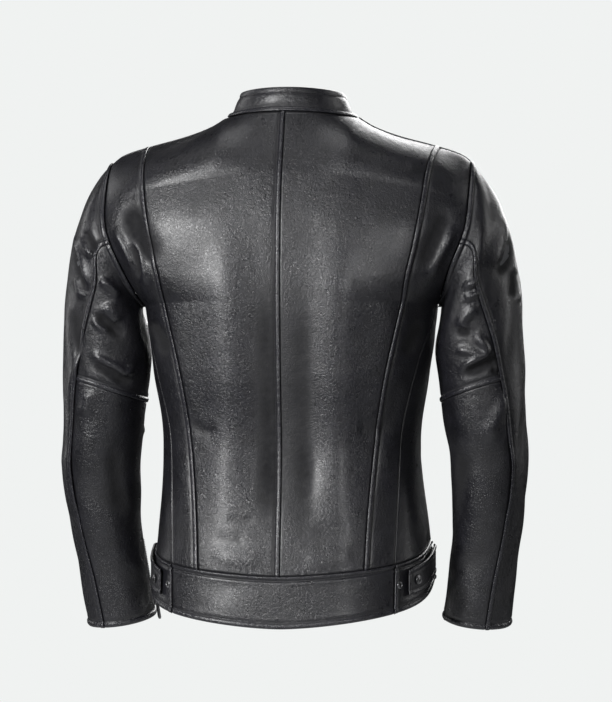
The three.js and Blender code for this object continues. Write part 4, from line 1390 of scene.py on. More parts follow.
@dataclass(frozen=True)
class Leather(Finish):
    """Drum-dyed cowhide under a waxy finish: mottled, pebbled, paler and smoother where it is rubbed, with
    painted shade darkening it in grooves and hollows.
    """

    pebbles: float = 640.0
    depth: float = 1.0

    def build(self, effects: Effects) -> bpy.types.Material:
        """Wires the material.

        Args:
            effects: The shared effects.

        Returns:
            The material.
        """
        material, n, shader, coords = self.start()
        grain = place_group(n, effects.grain, Vector=coords, Pebbles=self.pebbles)
        wear = n.add("ShaderNodeAttribute", attribute_name="wear").outputs["Fac"]
        hollow = n.add("ShaderNodeAttribute", attribute_name="hollow").outputs["Fac"]
        rub = place_group(n, effects.rub, Vector=coords, Wear=wear).outputs["Mask"]
        patch = grain.outputs["Patch"]
        tone = n.mix(n.fit(patch, 0.35, 0.68, 0, 1), self.shade(0.72), self.shade(1.35))
        pebble_tone = n.mix(n.fit(grain.outputs["Pebble"], 0, 1, 0.45, 0), tone, self.shade(0.45))
        rubbed = n.mix(n.math("MULTIPLY", rub, 0.55), pebble_tone, self.shade(2.6))
        # painted shade: the colour is darkened in grooves and hollows, in step with the stored hollow depth
        dark = n.mix(n.math("MULTIPLY", hollow, 0.75), rubbed, self.shade(0.35))
        n.link(dark, shader.inputs["Base Color"])
        gloss = n.fit(n.noise(coords, 130, 4, 0.6), 0.3, 0.7, self.roughness - 0.07, self.roughness + 0.09)
        gloss = n.math("SUBTRACT", gloss, n.math("MULTIPLY", rub, 0.08))
        gloss = n.math("ADD", gloss, n.math("MULTIPLY", hollow, 0.6), clamp=True)
        n.link(gloss, shader.inputs["Roughness"])
        n.link(n.fit(hollow, 0.05, 0.4, 0.2, 0.0), shader.inputs["Coat Weight"])
        shader.inputs["Coat Roughness"].default_value = 0.28
        mottle = n.bump(n.noise(coords, 62, 3, 0.55), 0.5, 0.0015 * self.depth)
        small = n.bump(n.noise(coords, 210, 3, 0.6), 0.55, 0.0007 * self.depth, mottle)
        crease = n.bump(grain.outputs["Crease"], 0.5, 0.00022 * self.depth, small)
        fine = n.bump(grain.outputs["Pebble"], 0.6, 0.0002 * self.depth, crease)
        n.link(fine, shader.inputs["Normal"])
        return material


@dataclass(frozen=True)
class Cloth(Finish):
    """Woven cloth: crossed yarns with slubs, a soft sheen and no gloss."""

    yarns: float = 1400.0
    sheen: float = 0.35

    def build(self, effects: Effects) -> bpy.types.Material:
        """Wires the material.

        Args:
            effects: The shared effects.

        Returns:
            The material.
        """
        material, n, shader, coords = self.start()
        uv = n.add("ShaderNodeUVMap", uv_map="along").outputs["UV"]
        weave = place_group(n, effects.weave, UV=uv, Yarns=self.yarns)
        tone = n.mix(weave.outputs["Height"], self.shade(0.55), self.shade(1.2))
        slub = n.mix(n.fit(weave.outputs["Slub"], 0.4, 0.7, 0, 0.5), tone, self.shade(1.7))
        n.link(slub, shader.inputs["Base Color"])
        gloss = n.fit(n.noise(coords, 60, 3), 0.3, 0.7, self.roughness - 0.06, self.roughness + 0.08)
        n.link(gloss, shader.inputs["Roughness"])
        shader.inputs["Sheen Weight"].default_value = self.sheen
        folds = n.bump(n.noise(coords, 45, 3, 0.5), 0.4, 0.002)
        n.link(n.bump(weave.outputs["Height"], 0.6, 0.00015, folds), shader.inputs["Normal"])
        return material


@dataclass(frozen=True)
class Foam(Finish):
    """Moulded armour foam: fine closed cells and a dull skin."""

    def build(self, effects: Effects) -> bpy.types.Material:
        """Wires the material.

        Args:
            effects: The shared effects; not used.

        Returns:
            The material.
        """
        material, n, shader, coords = self.start()
        cells = n.add("ShaderNodeTexVoronoi")
        n.link(coords, cells.inputs["Vector"])
        cells.inputs["Scale"].default_value = 900
        tone = n.mix(n.noise(coords, 120, 4), self.shade(0.75), self.shade(1.25))
        n.link(tone, shader.inputs["Base Color"])
        gloss = n.fit(cells.outputs["Distance"], 0, 0.8, self.roughness - 0.1, self.roughness)
        n.link(gloss, shader.inputs["Roughness"])
        n.link(n.bump(cells.outputs["Distance"], 0.5, 0.0002), shader.inputs["Normal"])
        return material


@dataclass(frozen=True)
class Metal(Finish):
    """Plated zinc: smoky plating with fine scratches, rubbed bright in places."""

    bright: float = 2.4

    def build(self, effects: Effects) -> bpy.types.Material:
        """Wires the material.

        Args:
            effects: The shared effects; not used.

        Returns:
            The material.
        """
        material, n, shader, coords = self.start()
        shader.inputs["Metallic"].default_value = 1.0
        cloud = n.noise(coords, 260, 4, 0.6)
        tone = n.mix(n.fit(cloud, 0.45, 0.75, 0, 1), self.shade(0.8), self.shade(self.bright))
        n.link(tone, shader.inputs["Base Color"])
        stretched = n.add("ShaderNodeMapping", vector_type="POINT")
        n.link(coords, stretched.inputs["Vector"])
        stretched.inputs["Scale"].default_value = (1.0, 1.0, 0.06)
        scratches = n.noise(stretched.outputs["Vector"], 2600, 3, 0.7)
        gloss = n.fit(scratches, 0.3, 0.75, self.roughness - 0.08, self.roughness + 0.16)
        n.link(gloss, shader.inputs["Roughness"])
        n.link(n.bump(scratches, 0.25, 0.00005), shader.inputs["Normal"])
        return material


@dataclass(frozen=True)
class WaxThread(Finish):
    """Waxed sewing thread: two plies twisted together."""

    def build(self, effects: Effects) -> bpy.types.Material:
        """Wires the material.

        Args:
            effects: The shared effects; not used.

        Returns:
            The material.
        """
        material, n, shader, coords = self.start()
        plies = n.noise(coords, 1800, 2)
        n.link(n.mix(plies, self.shade(0.6), self.shade(1.6)), shader.inputs["Base Color"])
        n.link(n.fit(plies, 0.3, 0.7, self.roughness - 0.1, self.roughness + 0.1), shader.inputs["Roughness"])
        n.link(n.bump(plies, 0.4, 0.0001), shader.inputs["Normal"])
        return material


@dataclass
class Wardrobe:
    """Every finish of the jacket, built once."""

    effects: Effects = field(default_factory=Effects)

    def __post_init__(self) -> None:
        """Builds the materials."""
        e = self.effects
        self.leather = Leather("black cowhide", (0.0105, 0.0105, 0.0135), 0.315).build(e)
        self.lining = Cloth("satin lining", (0.018, 0.018, 0.021), 0.55, 1700, 0.3).build(e)
        self.tape = Cloth("zip tape", (0.012, 0.012, 0.013), 0.8, 1100, 0.15).build(e)
        self.foam = Foam("armour foam", (0.06, 0.062, 0.068), 0.75).build(e)
        self.metal = Metal("smoked plating", (0.16, 0.16, 0.165), 0.3).build(e)
        self.teeth = Metal("zip teeth plating", (0.30, 0.30, 0.31), 0.34, 1.6).build(e)
        self.thread = WaxThread("waxed thread", (0.022, 0.022, 0.026), 0.5).build(e)

    def dress(self, obj: bpy.types.Object, material: bpy.types.Material) -> bpy.types.Object:
        """Gives a piece its only material.

        Args:
            obj: The object.
            material: The material.

        Returns:
            The object.
        """
        obj.data.materials.clear()
        obj.data.materials.append(material)
        return obj


# ---------------------------------------------------------------- the leather's folds, square on from behind

BODY_FOLDS = (
    # beside the left armhole
    Fold(((-195, -159), (-187, -175), (-183, -188), (-180, -204), (-179.5, -223)), 2.6, 5.0),
    Fold(((-198, -165), (-190, -178), (-186, -197), (-183, -217)), -2.4, 4.5),
    Fold(((-202, -113), (-189, -146), (-176, -171), (-171, -197)), -2.6, 13.0),
    Fold(((-217, -143), (-211, -159), (-203, -175), (-196, -190), (-187, -204)), 2.4, 5.0),
    # beside the right armhole
    Fold(((214, -140), (207, -160), (199, -178), (190, -196), (184, -214)), 2.2, 6.0),
    Fold(((206, -118), (195, -150), (183, -178), (178, -206)), -2.6, 12.0),
    # the two long swells down the back, and the hollow beside the middle seam
    Fold(((-74, -120), (-76, -220), (-73, -330), (-72, -440), (-78, -560)), 3.2, 26.0),
    Fold(((66, -120), (69, -220), (68, -330), (66, -440), (70, -560)), 3.2, 26.0),
    Fold(((-22, -200), (-24, -320), (-20, -440), (-24, -560)), -1.6, 18.0),
    Fold(((26, -200), (24, -320), (26, -440), (24, -560)), -1.4, 18.0),
    # the leather rests on the band
    Fold(((-96, -560), (-60, -565), (-22, -567)), 0.7, 12.0),
    Fold(((18, -567), (58, -565), (92, -559)), 0.7, 12.0),
    Fold(((-92, -538), (-70, -546), (-46, -541)), -0.45, 9.0),
    Fold(((-74, -512), (-54, -520), (-34, -514)), -0.6, 6.0),
    Fold(((34, -524), (58, -531), (84, -522)), -0.4, 9.0),
    # small of the back
    Fold(((-126, -392), (-104, -404), (-80, -408)), -0.9, 8.0),
    Fold(((88, -398), (112, -404), (134, -394)), -0.9, 8.0),
    # under the arms
    Fold(((-174, -262), (-160, -284), (-149, -312)), -2.2, 9.0),
    Fold(((176, -262), (163, -286), (154, -314)), -2.2, 9.0),
)
TOP_SLEEVE_FOLDS = (
    Fold(((-270, -150), (-265, -165), (-261, -182), (-257, -197), (-253, -215), (-249, -227)), 3.4, 5.5),
    Fold(((-269, -171), (-265, -190), (-260, -211), (-256, -230)), -3.0, 5.0),
    Fold(((-268, -204), (-264, -223), (-260, -239)), 2.6, 5.0),
    Fold(((-261, -155), (-256, -165), (-249, -178), (-246, -187)), 2.6, 4.5),
    Fold(((-257, -150), (-249, -163), (-243, -171), (-236, -176)), -2.6, 5.0),
    Fold(((-273, -245), (-270, -264), (-267, -284), (-263, -301), (-264, -323)), -2.0, 8.0),
    Fold(
        (
            (-274, -284), (-270, -306), (-267, -323), (-274, -340), (-277, -353), (-276, -371), (-273, -387)
        ), 1.2, 4.5
    ),
    Fold(((284, -124), (277, -152), (267, -182), (260, -204)), 2.4, 11.0),
    Fold(((296, -130), (290, -160), (280, -190), (269, -214)), -3.2, 8.0),
    Fold(((292, -198), (292, -217), (290, -239)), -2.8, 6.0),
    Fold(((300, -204), (300, -222), (297, -243)), 2.4, 5.0),
    Fold(((-284, -420), (-281, -470), (-272, -520)), 1.6, 10.0),
    Fold(((286, -420), (282, -470), (274, -520)), 1.6, 10.0),
)
UNDER_SLEEVE_FOLDS = (
    Fold(((-238, -211), (-231, -216), (-223, -222), (-216, -229), (-208, -234)), 2.8, 5.0),
    Fold(((-231, -241), (-221, -255), (-212, -270)), 3.0, 9.0),
    Fold(((-243, -255), (-234, -264), (-223, -272), (-213, -280), (-203, -284)), -4.4, 6.0),
    Fold(((-246, -260), (-238, -270), (-229, -276), (-221, -280)), 2.2, 4.0),
    Fold(
        (
            (-248, -301), (-240, -311), (-229, -319), (-216, -324), (-206, -332), (-196, -328), (-195, -316)
        ), 3.8, 5.5
    ),
    Fold(((-249, -315), (-234, -323), (-221, -331), (-208, -340), (-192, -346)), -4.0, 6.0),
    Fold(
        ((223, -226), (233, -220), (245, -213), (254, -210), (260, -213), (259, -220), (251, -226)), 3.2, 4.6
    ),
    Fold(((251, -226), (240, -232), (226, -237)), 2.6, 4.6),
    Fold(((245, -243), (233, -256), (223, -267), (229, -273), (239, -270)), 2.6, 6.5),
    Fold(((216, -278), (236, -279)), -3.0, 5.0),
    Fold(
        (
            *((240, -275), (246, -288), (254, -298), (256, -306)),
            *((251, -312), (239, -316), (228, -323), (220, -337)),
        ),
        3.6,
        5.0,
    ),
    Fold(((214, -301), (227, -303), (242, -306), (254, -309)), 2.4, 4.5),
    Fold(((277, -310), (262, -316), (246, -323), (233, -329), (227, -339)), -4.2, 6.5),
    Fold(((260, -326), (272, -331), (285, -332)), -2.2, 4.0),
    # the forearm's long highlights
    Fold(((-250, -352), (-254, -372), (-258, -388)), 2.2, 8.0),
    Fold(((286, -352), (270, -385), (252, -420)), 2.4, 9.0),
    Fold(((-222, -420), (-216, -470), (-206, -520)), -1.8, 10.0),
    Fold(((226, -430), (222, -480), (212, -530)), -1.8, 10.0),
)
FRONT_SLEEVE_FOLDS = tuple(
    Fold(tuple((sign * x, z) for x, z in path), height, width, True)
    for sign in (-1, 1)
    for path, height, width in (
        (((196, -246), (214, -262), (236, -268)), -3.6, 7.0),
        (((198, -262), (216, -280), (240, -284)), 3.0, 6.5),
        (((202, -330), (222, -346), (250, -344)), -4.0, 7.0),
        (((200, -352), (222, -368), (256, -366)), 3.4, 7.0),
        (((204, -376), (226, -392), (258, -388)), -4.0, 7.0),
        (((206, -398), (226, -412), (250, -410)), 2.6, 7.0),
        (((272, -190), (268, -240), (270, -290)), 2.2, 9.0),
    )
)
FRONT_FOLDS = tuple(
    Fold(tuple((sign * x, z) for x, z in path), height, width, True)
    for sign in (-1, 1)
    for path, height, width in (
        (((190, -200), (168, -236), (150, -290)), -2.8, 11.0),
        (((186, -170), (160, -216), (136, -280)), 2.4, 10.0),
        (((60, -150), (58, -280), (52, -420), (50, -540)), 2.6, 20.0),
        (((28, -180), (30, -320), (28, -470)), -1.6, 12.0),
        (((150, -430), (126, -446), (104, -448)), -1.8, 9.0),
        (((112, -562), (70, -572), (30, -574)), 1.8, 9.0),
    )
)


def mirror(surface: Surface, side: Side) -> Surface:
    """The same surface on one side of the body.

    Args:
        surface: The surface to use.
        side: The side of the body.

    Returns:
        The surface, as a function of u and v.
    """

    def turned(u: Array, v: Array) -> Array:
        """The surface with its x turned over for the left side.

        Args:
            u: Shares across, one row.
            v: Shares up, one column.

        Returns:
            The points.
        """
        p = surface(u, v).copy()
        p[..., 0] *= side.value
        return p

    return turned


def torso_patch(
    start: Callable, end: Callable, rows: tuple[float, float], insets: tuple[float, float]
) -> Surface:
    """A patch of the torso between two columns, each a function of the row, kept a little inside both.

    Args:
        start: The first column, as a function of the row.
        end: The last column, as a function of the row.
        rows: The shares of the way up at its two ends.
        insets: How far each edge stands in.

    Returns:
        The surface, as a function of u and v.
    """

    def patch(u: Array, v: Array) -> Array:
        """The patch: u runs between the two columns and v between the two rows.

        Args:
            u: Shares across, one row.
            v: Shares up, one column.

        Returns:
            The points.
        """
        t = lerp(rows[0], rows[1], v[:, :1])
        low, high = start(t), end(t)
        width = np.linalg.norm(TORSO.point(low, t) - TORSO.point(high, t), axis=-1) + 1
        share = lerp(insets[0] / width, 1 - insets[1] / width, u)
        return TORSO.point(lerp(low, high, share), np.broadcast_to(t, u.shape))

    return patch


def sleeve_patch(
    seams: tuple[Callable, Callable], rows: tuple[Callable, Callable], ends: tuple[float, float] = (
        0.0, 0.475
    )
) -> Surface:
    """A patch of the sleeve between two seams, each an angle for every row, and two rows for every angle.

    ends are the rows' own places along the arm, where the seams' angles are read for them.

    Args:
        seams: The two seams.
        rows: The first and the last row, as functions of the angle.
        ends: The shares of the arm at its two ends.

    Returns:
        The surface, as a function of u and v.
    """

    def patch(u: Array, v: Array) -> Array:
        """The patch: u runs between the two seams and v between the two rows.

        Args:
            u: Shares across, one row.
            v: Shares up, one column.

        Returns:
            The points.
        """
        upper, lower = (lerp(float(seams[0](end)), float(seams[1](end)), u[:1]) for end in ends)
        t = lerp(rows[0](upper), rows[1](lower), v)
        return SLEEVE.point(lerp(seams[0](t), seams[1](t), u), t)

    return patch


RIB_PITCH = 2.1  # from rib to rib across a zip tape
TORSO_INSIDE = np.array([0.0, 0.0, -330.0])


@dataclass
class TorsoLeather:
    """The six body panels: two backs, two side backs and two fronts."""

    wardrobe: Wardrobe
    thread: Thread
    seam_tuck: float = 0.1
    armhole_tuck: float = 0.3

    def panels(self, side: Side) -> list[Panel]:
        """The panels of one side, from the middle of the back to the front zip.

        Args:
            side: The side of the body.

        Returns:
            The panels.
        """
        inside = TORSO_INSIDE + np.array([20.0 * side.value, 0, 0])
        rows = (TORSO.t_band, 1.0)
        word = side.word
        middle = EdgeKind.STRIP if side is Side.LEFT else EdgeKind.LOW
        back = Panel(
            f"Back_Panel_{word}",
            mirror(torso_patch(lambda t: 0 * t, TORSO.princess, rows, (0.1, self.seam_tuck)), side),
            inside,
            (f"back_panel_{word}",),
            {"start": middle, "end": EdgeKind.LOW, "low": EdgeKind.LOW, "high": EdgeKind.LOW},
            folds=BODY_FOLDS,
            drape=Drape(11 + side.value, 0.4, (45, 130)),
            step=2.7,
        )
        side_back = Panel(
            f"Side_Back_Panel_{word}",
            mirror(
                torso_patch(TORSO.princess, TORSO.side_seam, rows, (self.seam_tuck, self.armhole_tuck)), side
            ),
            inside,
            (f"side_back_panel_{word}",),
            {"start": EdgeKind.STRIP, "end": EdgeKind.LOW, "low": EdgeKind.LOW, "high": EdgeKind.LOW},
            folds=BODY_FOLDS,
            drape=Drape(21 + side.value, 0.6),
            step=2.7,
        )
        front = Panel(
            f"Front_Panel_{word}",
            mirror(torso_patch(TORSO.side_seam, TORSO.front_edge, rows, (self.armhole_tuck, 0.0)), side),
            inside,
            (f"front_panel_{word}",),
            {"start": EdgeKind.LOW, "end": EdgeKind.FREE, "low": EdgeKind.LOW, "high": EdgeKind.STRIP},
            folds=FRONT_FOLDS,
            drape=Drape(31 + side.value, 0.7),
            step=3.4,
        )
        return [back, side_back, front]

    def build(self) -> None:
        """Builds and sews the panels."""
        for side in SIDES:
            for panel in self.panels(side):
                self.wardrobe.dress(panel.build(), self.wardrobe.leather)
                self.thread.sew_edges(panel)


@dataclass
class Waistband:
    """The doubled band below the body: one back piece and two fronts, with a welt above and a rolled hem."""

    wardrobe: Wardrobe
    thread: Thread
    thick: float = 2.5

    def back_surface(self, u: Array, v: Array) -> Array:
        """The band's back from one side seam to the other, u being 0 on the wearer's left.

        Args:
            u: Shares across, one row.
            v: Shares up, one column.

        Returns:
            The points.
        """
        t = TORSO.t_band * v[:, :1]
        reach = TORSO.side_seam(t) - 0.0012
        phi = (u * 2 - 1) * reach
        p = TORSO.point(np.abs(phi), np.broadcast_to(t, u.shape))
        p[..., 0] *= np.where(phi < 0, -1, 1)
        return p

    def build(self) -> None:
        """Builds and sews the band."""
        ends = {"low": EdgeKind.HEM, "high": EdgeKind.WELT}
        pieces = [
            Panel(
                "Waistband_Back",
                self.back_surface,
                TORSO_INSIDE,
                ("waistband_back",),
                {"start": EdgeKind.DEEP, "end": EdgeKind.DEEP, **ends},
                thick=self.thick,
                lift=0.4,
                step=2.6,
                drape=Drape(41, 0.55, (30, 120)),
            )
        ]
        for side in SIDES:
            patch = torso_patch(TORSO.side_seam, TORSO.front_edge, (0.0, TORSO.t_band), (0.4, 0.0))
            pieces.append(
                Panel(
                    f"Waistband_Front_{side.word}",
                    mirror(patch, side),
                    TORSO_INSIDE,
                    (f"waistband_front_{side.word}",),
                    {"start": EdgeKind.STRIP, "end": EdgeKind.FREE, **ends},
                    thick=self.thick,
                    lift=0.4,
                    drape=Drape(43 + side.value, 0.55, (30, 120)),
                )
            )
        for panel in pieces:
            self.wardrobe.dress(panel.build(), self.wardrobe.leather)
            self.thread.sew_edges(panel)


@dataclass
class StandCollar:
    """The stand collar: an outer leather with a soft ridge round its middle, and a facing inside it."""

    wardrobe: Wardrobe
    thread: Thread
    height: float = 33.0
    lean: float = 21.0
    foot: float = 0.05
    facing_depth: float = 3.1

    def surface(self, u: Array, v: Array) -> Array:
        """The collar by the angle round the neck and the share of its height: it flares, then stands.

        Args:
            u: Shares across, one row.
            v: Shares up, one column.

        Returns:
            The points.
        """
        edge = math.pi - math.asin(TORSO.front_gap / 2 / TORSO.neck_half_width)
        angle = lerp(-edge, edge, u)
        v = lerp(self.foot, 1.0, v)
        foot = TORSO.neckline(angle)
        centre_y = (TORSO.neck_front[0] + TORSO.nape_y) / 2
        out = unit(vec(foot[..., 0], foot[..., 1] - centre_y, 0))
        flare = self.lean * v**0.62 * (0.75 - 0.25 * np.cos(angle * 2))
        p = foot - out * flare[..., None]
        rise = self.height * v
        zip_y = TORSO.neck_front[0] - rise * math.tan(TORSO.lean)
        near_zip = smoothstep((1 - np.cos(angle)) / 2, 0.5, 1)
        p[..., 1] = lerp(p[..., 1], centre_y - (zip_y - centre_y) * np.cos(angle), near_zip)
        p[..., 0] = lerp(p[..., 0], foot[..., 0], near_zip)
        p[..., 2] = foot[..., 2] + rise
        return p

    def swell(self, base: Array, along: Array, up: Array) -> Array:
        """A soft ridge two thirds up and a crease below it, each fading along the collar in slow waves."""
        wave = 0.75 + 0.25 * np.sin(along / 37) * np.sin(along / 61 + 1)
        return wave * (1.1 * np.exp(-(((up - 22) / 5.5) ** 2)) - 0.8 * np.exp(-(((up - 11.5) / 3.2) ** 2)))

    def build(self) -> None:
        """Builds and sews the collar."""
        inside = np.array([0.0, 4.0, -10.0])
        outer = Panel(
            "Collar_Outer",
            self.surface,
            inside,
            ("collar_outer",),
            {"start": EdgeKind.FREE, "end": EdgeKind.FREE, "low": EdgeKind.STRIP, "high": EdgeKind.FREE},
            thick=2.1,
            step=2.6,
            extra=self.swell,
            drape=Drape(51, 0.35, (25, 90)),
        )
        facing = Panel(
            "Collar_Facing",
            self.surface,
            inside,
            ("collar_facing",),
            {"low": EdgeKind.LOW},
            thick=1.3,
            lift=-self.facing_depth,
            drape=Drape(53, 0.2, (25, 90)),
        )
        for panel in (outer, facing):
            self.wardrobe.dress(panel.build(), self.wardrobe.leather)
            self.thread.sew_edges(panel)


@dataclass
class SleeveLeather:
    """One sleeve: the top, the two under pieces that meet at the elbow, and the cuff's facing."""

    side: Side
    wardrobe: Wardrobe
    thread: Thread
    elbow_gap: float = 0.0002

    def panels(self) -> list[Panel]:
        """The sleeve's pieces.

        Returns:
            The panels.
        """
        word, sign = self.side.word, self.side.value
        start = lambda angle: SLEEVE.start(angle, 0.3)
        ones = lambda angle: np.ones(np.shape(angle))
        above = lambda angle: SLEEVE.elbow_row(angle) - self.elbow_gap
        below = lambda angle: SLEEVE.elbow_row(angle) + self.elbow_gap
        front_behind = lambda t: SLEEVE.front_seam(t) - 2 * math.pi
        under = (SLEEVE.back_seam, SLEEVE.front_seam)
        inside, upper_inside = np.array([sign * 246.0, 18, -390]), np.array([sign * 238.0, 4, -250])
        under_folds = UNDER_SLEEVE_FOLDS + FRONT_SLEEVE_FOLDS
        return [
            Panel(
                f"Sleeve_Top_{word}",
                mirror(sleeve_patch((front_behind, SLEEVE.back_seam), (start, ones)), self.side),
                inside,
                (f"sleeve_top_{word}",),
                {"start": EdgeKind.STRIP, "end": EdgeKind.STRIP, "low": EdgeKind.STRIP, "high": EdgeKind.HEM},
                folds=TOP_SLEEVE_FOLDS + FRONT_SLEEVE_FOLDS,
                drape=Drape(61 + sign, 0.9, (35, 130)),
                step=2.8,
            ),
            Panel(
                f"Sleeve_Under_Upper_{word}",
                mirror(sleeve_patch(under, (start, above)), self.side),
                upper_inside,
                (f"sleeve_under_upper_{word}",),
                {"start": EdgeKind.LOW, "end": EdgeKind.LOW, "low": EdgeKind.STRIP, "high": EdgeKind.STRIP},
                folds=under_folds,
                drape=Drape(71 + sign, 0.9, (30, 110)),
                step=2.6,
            ),
            Panel(
                f"Sleeve_Under_Lower_{word}",
                mirror(sleeve_patch(under, (below, ones), (SLEEVE.elbow, 1.0)), self.side),
                inside,
                (f"sleeve_under_lower_{word}",),
                {"start": EdgeKind.LOW, "end": EdgeKind.LOW, "low": EdgeKind.DEEP, "high": EdgeKind.HEM},
                folds=under_folds,
                drape=Drape(81 + sign, 0.9, (35, 130)),
                step=2.8,
            ),
            Panel(
                f"Cuff_Facing_{word}",
                mirror(
                    lambda u, v: SLEEVE.point(lerp(0, 2 * math.pi, u), lerp(0.93, 0.998, v)),
                    self.side,
                ),
                np.array([sign * 236.0, 62, -632]),
                (f"cuff_facing_{word}",),
                {},
                thick=1.3,
                lift=-3.0,
                step=3.4,
                wrap=True,
            ),
        ]

    def build(self) -> None:
        """Builds and sews the sleeve."""
        for panel in self.panels():
            self.wardrobe.dress(panel.build(), self.wardrobe.leather)
            self.thread.sew_edges(panel)


@dataclass
class Linings:
    """The satin lining: a back, two fronts and two sleeves, hung inside the leather."""

    wardrobe: Wardrobe
    depth: float = 11.0
    sleeve_depth: float = 10.0
    thick: float = 0.9
    top: float = 0.925
    facing: float = 22.0

    def side_column(self, t: Array) -> Array:
        """Where the back lining meets the front lining."""
        return lerp(1, 0.93, smoothstep(t, TORSO.t_pit - 0.02, TORSO.t_pit + 0.02))

    def back_surface(self, u: Array, v: Array) -> Array:
        """The back lining from side to side.

        Args:
            u: Shares across, one row.
            v: Shares up, one column.

        Returns:
            The points.
        """
        t = lerp(TORSO.t_band - 0.02, self.top, v[:, :1])
        phi = (u * 2 - 1) * (self.side_column(t) - 0.006)
        p = TORSO.point(np.abs(phi), np.broadcast_to(t, u.shape))
        p[..., 0] *= np.where(phi < 0, -1, 1)
        return p

    def front_surface(self, u: Array, v: Array) -> Array:
        """A front lining from the side to the leather facing beside the zip.

        Args:
            u: Shares across, one row.
            v: Shares up, one column.

        Returns:
            The points.
        """
        t = lerp(TORSO.t_band - 0.02, self.top, v[:, :1])
        edge = 2 - TORSO.column_at(TORSO.front_gap / 2 + self.facing, t, True)
        phi = lerp(2 - self.side_column(t) + 0.006, edge, u)
        return TORSO.point(phi, np.broadcast_to(t, u.shape))

    def pleats(self, base: Array, along: Array, up: Array) -> Array:
        """Shallow upright folds, drifting and fading along the cloth."""
        return 1.1 * np.sin(along / 9.5 + 1.4 * np.sin(up / 83)) * (0.45 + 0.4 * np.sin(up / 57 + along / 71))

    def build(self) -> None:
        """Builds the linings."""
        common = {"thick": self.thick, "slot": "lining", "held": "hung", "extra": self.pleats, "step": 4.2}
        pieces = [
            Panel(
                "Body_Lining_Back",
                self.back_surface,
                TORSO_INSIDE,
                ("body_lining_back",),
                lift=-self.depth,
                **common,
            )
        ]
        for side in SIDES:
            pieces.append(
                Panel(
                    f"Body_Lining_Front_{side.word}",
                    mirror(self.front_surface, side),
                    TORSO_INSIDE,
                    (f"body_lining_front_{side.word}",),
                    lift=-self.depth,
                    **common,
                )
            )
            pieces.append(
                Panel(
                    f"Sleeve_Lining_{side.word}",
                    mirror(lambda u, v: SLEEVE.point(lerp(0, 2 * math.pi, u), lerp(0.12, 0.92, v)), side),
                    np.array([side.value * 246.0, 18, -390]),
                    (f"sleeve_lining_{side.word}",),
                    lift=-self.sleeve_depth,
                    wrap=True,
                    **common,
                )
            )
        for panel in pieces:
            self.wardrobe.dress(panel.build(), self.wardrobe.lining)


class Pad(Panel):
    """An armour pad: a crowned foam plate with rounded edges and moulded channels."""

    def channels(self) -> Array:
        """Crossed grooves every 18 mm.

        Returns:
            The values, as an array.
        """
        return sum(
            -1.0 * np.exp(-((((x % 18.0) - 9.0) / 1.5) ** 2)) for x in (
                self.along + self.up, self.along - self.up + 900
            )
        )

    def build(self) -> bpy.types.Object:
        """Returns:
            The object.
        """
        self.lay_out()
        edge = np.minimum.reduce(list(self.gaps.values()))
        crown = smoothstep(edge, -1, 8)
        middle = self.base + self.normal * (self.lift - self.thick / 2)
        half = self.thick / 2 * lerp(0.12, 1.0, crown)
        self.outer = middle + self.normal * (half + self.channels() * smoothstep(edge, 3, 9))[..., None]
        inner = middle - self.normal * half[..., None]
        rows, cols = self.along.shape
        faces = shell_faces(rows, cols, False)
        sample = np.cross(self.outer[1, 2] - self.outer[1, 1], self.outer[2, 1] - self.outer[1, 1])
        if (sample * self.normal[1, 1]).sum() < 0:
            faces = faces[:, ::-1]
        made = new_object(
            self.name, np.concatenate([self.outer.reshape(-1, 3), inner.reshape(-1, 3)]), faces, self.body
        )
        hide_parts(*self.replaces)
        LOG.info("%s: pad of %d corners", self.name, rows * cols * 2)
        return made


@dataclass
class Armour:
    """The pads between leather and lining: shoulders, elbows and back."""

    wardrobe: Wardrobe
    thick: float = 4.8

    def build(self) -> None:
        """Builds the pads."""
        pads = [
            Pad(
                "Back_Protector",
                self.back_surface,
                TORSO_INSIDE,
                ("back_protector",),
                thick=self.thick,
                lift=-3.8,
                slot="armour",
            )
        ]
        for side in SIDES:
            for name, angles, rows, lift, spot in (
                ("shoulder", (-0.75, 0.85), (0.055, 0.21), -3.2, (236, 0, -186)),
                ("elbow", (0.7, 2.3), (0.4, 0.62), -4.2, (250, 17, -385)),
            ):
                patch = self.sleeve_area(angles, rows)
                pads.append(
                    Pad(
                        f"{name.title()}_Pad_{side.word}",
                        mirror(patch, side),
                        np.array([side.value * spot[0], spot[1], spot[2]], float),
                        (f"{name}_pad_{side.word}",),
                        thick=self.thick,
                        lift=lift,
                        slot="armour",
                    )
                )
        for pad in pads:
            self.wardrobe.dress(pad.build(), self.wardrobe.foam)

    def sleeve_area(self, angles: tuple[float, float], rows: tuple[float, float]) -> Surface:
        """A patch of the sleeve between two angles and two rows."""
        return lambda u, v: SLEEVE.point(lerp(*angles, u), lerp(*rows, v))

    def back_surface(self, u: Array, v: Array) -> Array:
        """The middle of the back, from the waist to the shoulder blades.

        Args:
            u: Shares across, one row.
            v: Shares up, one column.

        Returns:
            The points.
        """
        t = lerp(TORSO.share(455), TORSO.share(95), v[:, :1])
        phi = (u * 2 - 1) * 0.42
        p = TORSO.point(np.abs(phi), np.broadcast_to(t, u.shape))
        p[..., 0] *= np.where(phi < 0, -1, 1)
        return p


# ---------------------------------------------------------------- hardware


